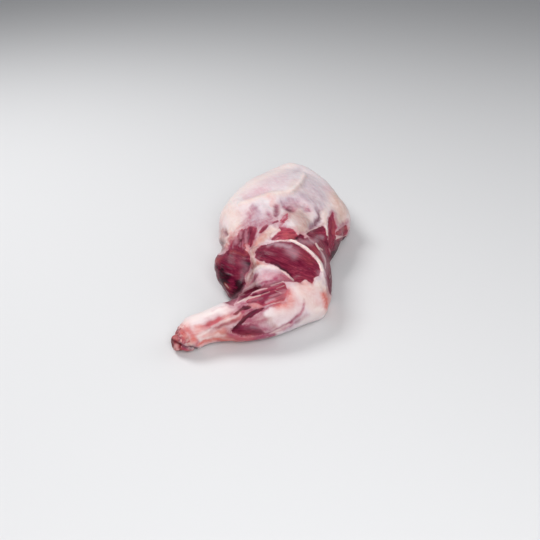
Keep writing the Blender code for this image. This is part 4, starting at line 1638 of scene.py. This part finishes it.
@dataclass
class KnuckleCrumbs:
    """Crumbs of bone, marrow and fat on the sawn knuckle, scattered by Geometry Nodes."""

    per_square_metre: float = 70000.0
    smallest_mm: float = 0.4
    largest_mm: float = 1.3
    least_cut: float = 0.5
    least_up: float = -0.3
    flatness: float = 0.32
    seed: int = 7

    def build(self, skin: bpy.types.Object) -> bpy.types.Object:
        """Scatters the crumbs over the knuckle.

        Args:
            skin: The dressed meat.

        Returns:
            The dressed piece.
        """
        piece = add_object("knuckle_crumbs", skin.data.copy())
        piece.data.materials.clear()
        return run_tree(piece, *self.crumb_tree(), {
            "Density": self.per_square_metre, "Smallest": self.smallest_mm * MM,
            "Largest": self.largest_mm * MM, "Least Cut": self.least_cut, "Least Up": self.least_up,
            "Flatness": self.flatness, "Seed": self.seed, "Material": CrumbsOfBone().make(),
        })

    def crumb_tree(self) -> tuple[bpy.types.NodeTree, dict[str, str]]:
        """Makes the tree that scatters the crumbs.

        Returns:
            The tree, and its inputs' identifiers by name.
        """
        sizes = ("Density", "Smallest", "Largest", "Least Cut", "Least Up", "Flatness")
        kinds = {**dict.fromkeys(sizes, "Float"), "Seed": "Int", "Material": "Material"}
        tree, named, given = open_tree("crumbs_on_the_cut", kinds)
        asked = given.outputs
        # They lie where the bone is cut, and not on what faces down.
        over = {"data_type": "FLOAT", "operation": "GREATER_THAN"}
        cut = add_node(tree, "GeometryNodeInputNamedAttribute", {"data_type": "FLOAT"}, {"Name": "cut"})
        links = {"A": cut.outputs[0], "B": asked["Least Cut"]}
        raw = add_node(tree, "FunctionNodeCompare", over, links=links)
        normal = add_node(tree, "GeometryNodeInputNormal").outputs[0]
        facing = add_node(tree, "ShaderNodeSeparateXYZ", links={0: normal})
        links = {"A": facing.outputs["Z"], "B": asked["Least Up"]}
        up = add_node(tree, "FunctionNodeCompare", over, links=links)
        links = {0: raw.outputs["Result"], 1: up.outputs["Result"]}
        both = add_node(tree, "FunctionNodeBooleanMath", {"operation": "AND"}, links=links)
        links = {
            "Mesh": asked["Geometry"], "Selection": both.outputs[0], "Density": asked["Density"],
            "Seed": asked["Seed"],
        }
        spread = add_node(tree, "GeometryNodeDistributePointsOnFaces", links=links)
        # A crumb is a ball with dents, of a random size and flattened on to the skin.
        ball = add_node(tree, "GeometryNodeMeshIcoSphere", {}, {"Radius": 1.0, "Subdivisions": 2})
        dents = add_node(tree, "ShaderNodeTexNoise", {}, {"Scale": 1.3})
        outward = add_node(tree, "GeometryNodeInputNormal").outputs[0]
        links = {"Vector": outward, "Scale": dents.outputs["Fac"]}
        lumpy = add_node(tree, "ShaderNodeVectorMath", {"operation": "SCALE"}, links=links)
        links = {"Geometry": ball.outputs["Mesh"], "Offset": lumpy.outputs["Vector"]}
        crumb = add_node(tree, "GeometryNodeSetPosition", links=links)
        links = {2: asked["Smallest"], 3: asked["Largest"], "Seed": asked["Seed"]}
        size = add_node(tree, "FunctionNodeRandomValue", {"data_type": "FLOAT"}, links=links).outputs[1]
        height = add_node(tree, MATH, TIMES, links={0: size, 1: asked["Flatness"]}).outputs[0]
        extent = add_node(tree, "ShaderNodeCombineXYZ", links={"X": size, "Y": size, "Z": height})
        links = {
            "Points": spread.outputs["Points"], "Instance": crumb.outputs["Geometry"],
            "Rotation": spread.outputs["Rotation"], "Scale": extent.outputs["Vector"],
        }
        placed = add_node(tree, "GeometryNodeInstanceOnPoints", links=links)
        close_tree(tree, placed.outputs["Instances"], given)
        return tree, named


@dataclass
class ShankBone:
    """The bone that shows at the cut end of the shank."""

    viewpoint: Viewpoint
    voxel_mm: float = 0.8
    passes: int = 4
    pit_mm: float = 0.5
    crack_mm: float = 0.9

    def build(self, node: bpy.types.Object) -> bpy.types.Object:
        """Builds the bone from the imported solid.

        Args:
            node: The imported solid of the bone.

        Returns:
            The dressed piece.
        """
        piece = merged_copy(node, "dressed_bone")
        refine(piece, self.voxel_mm, self.passes)
        surface = SurfaceMap(piece.data, self.viewpoint)
        tints = stain_fields(surface, surface.spots, BONE_STAINS)
        points = surface.points / MM
        lift = self.pit_mm * (noise(points, 3.2, 61) + 0.5 * noise(points, 1.6, 62))
        push(piece, surface, lift - self.crack_mm * tints[Tint.SHADE])
        store_fields(piece.data, {tint.value: amount for tint, amount in tints.items()})
        return cover(piece, BoneAndCartilage().make())


@dataclass
class Studio:
    """The pale floor, the soft lights and the camera."""

    viewpoint: Viewpoint
    floor_width: float = 4.0
    lit_spot: tuple[float, float, float] = (0.0, 0.0, 0.03)
    room_colour: str = "#F2F4F8"
    room_strength: float = 0.26

    def build(self) -> bpy.types.Object:
        """Sets up the studio.

        Returns:
            The floor.
        """
        self.add_camera()
        self.add_light("key", (-0.75, 0.35, 1.15), 12.0, 0.6)
        self.add_light("front_fill", (0.15, -1.1, 0.9), 11.5, 0.8)
        self.add_light("right_fill", (1.1, 0.1, 0.8), 2.8, 0.9)
        world = bpy.data.worlds.new("soft_room")
        world.use_nodes = True
        back = world.node_tree.nodes["Background"]
        back.inputs["Color"].default_value = linear(self.room_colour)
        back.inputs["Strength"].default_value = self.room_strength
        bpy.context.scene.world = world
        return self.add_floor()

    def add_camera(self) -> None:
        """Places the camera where the picture was taken from."""
        view = self.viewpoint
        data = bpy.data.cameras.new("picture_camera")
        data.sensor_width = view.sensor_mm
        data.lens = view.sensor_mm * view.focal / view.frame
        data.clip_start = 0.02
        camera = add_object("picture_camera", data)
        camera.location = view.place
        camera.rotation_euler = (math.pi / 2 - view.tilt, 0.0, 0.0)
        bpy.context.scene.camera = camera

    def add_light(self, name: str, place: tuple[float, float, float], watts: float, size: float) -> None:
        """Adds a soft light that faces the meat.

        Args:
            name: The light's name.
            place: Where it hangs.
            watts: Its power.
            size: The side of its panel.
        """
        data = bpy.data.lights.new(name, "AREA")
        data.energy = watts
        data.size = size
        light = add_object(name, data)
        light.location = place
        light.rotation_euler = (Vector(self.lit_spot) - Vector(place)).to_track_quat("-Z", "Y").to_euler()

    def add_floor(self) -> bpy.types.Object:
        """Lays the paper under the meat.

        Returns:
            The floor.
        """
        net = bmesh.new()
        bmesh.ops.create_grid(net, x_segments=8, y_segments=8, size=self.floor_width / 2)
        mesh = bpy.data.meshes.new("paper_floor")
        net.to_mesh(mesh)
        net.free()
        mesh.materials.append(PalePaper().make())
        return add_object("paper_floor", mesh)


def dress(piece: bpy.types.Object, node: str | None = None) -> None:
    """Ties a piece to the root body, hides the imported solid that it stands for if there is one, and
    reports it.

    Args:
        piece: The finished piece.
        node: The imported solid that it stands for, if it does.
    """
    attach(piece, "root")
    if node is not None:
        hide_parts(node)
    log.info("%s: %d faces", piece.name, len(piece.data.polygons))


def main() -> None:
    """Builds the pieces in order and logs each one's faces."""
    logging.basicConfig(level=logging.INFO, format="%(name)s: %(message)s")
    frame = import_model()
    viewpoint = Viewpoint()
    bpy.context.scene.view_settings.view_transform = "Standard"
    floor = Studio(viewpoint).build()
    nodes = frame["nodes"]
    skin = ShoulderMeat(viewpoint).build(nodes["shoulder_meat"])
    cords = SinewCords(viewpoint).build(skin)
    crumbs = KnuckleCrumbs().build(skin)
    dress(skin, "shoulder_meat")
    dress(cords)
    dress(crumbs)
    dress(ShankBone(viewpoint).build(nodes["shank_bone"]), "shank_bone")


if __name__ == "__main__":
    main()
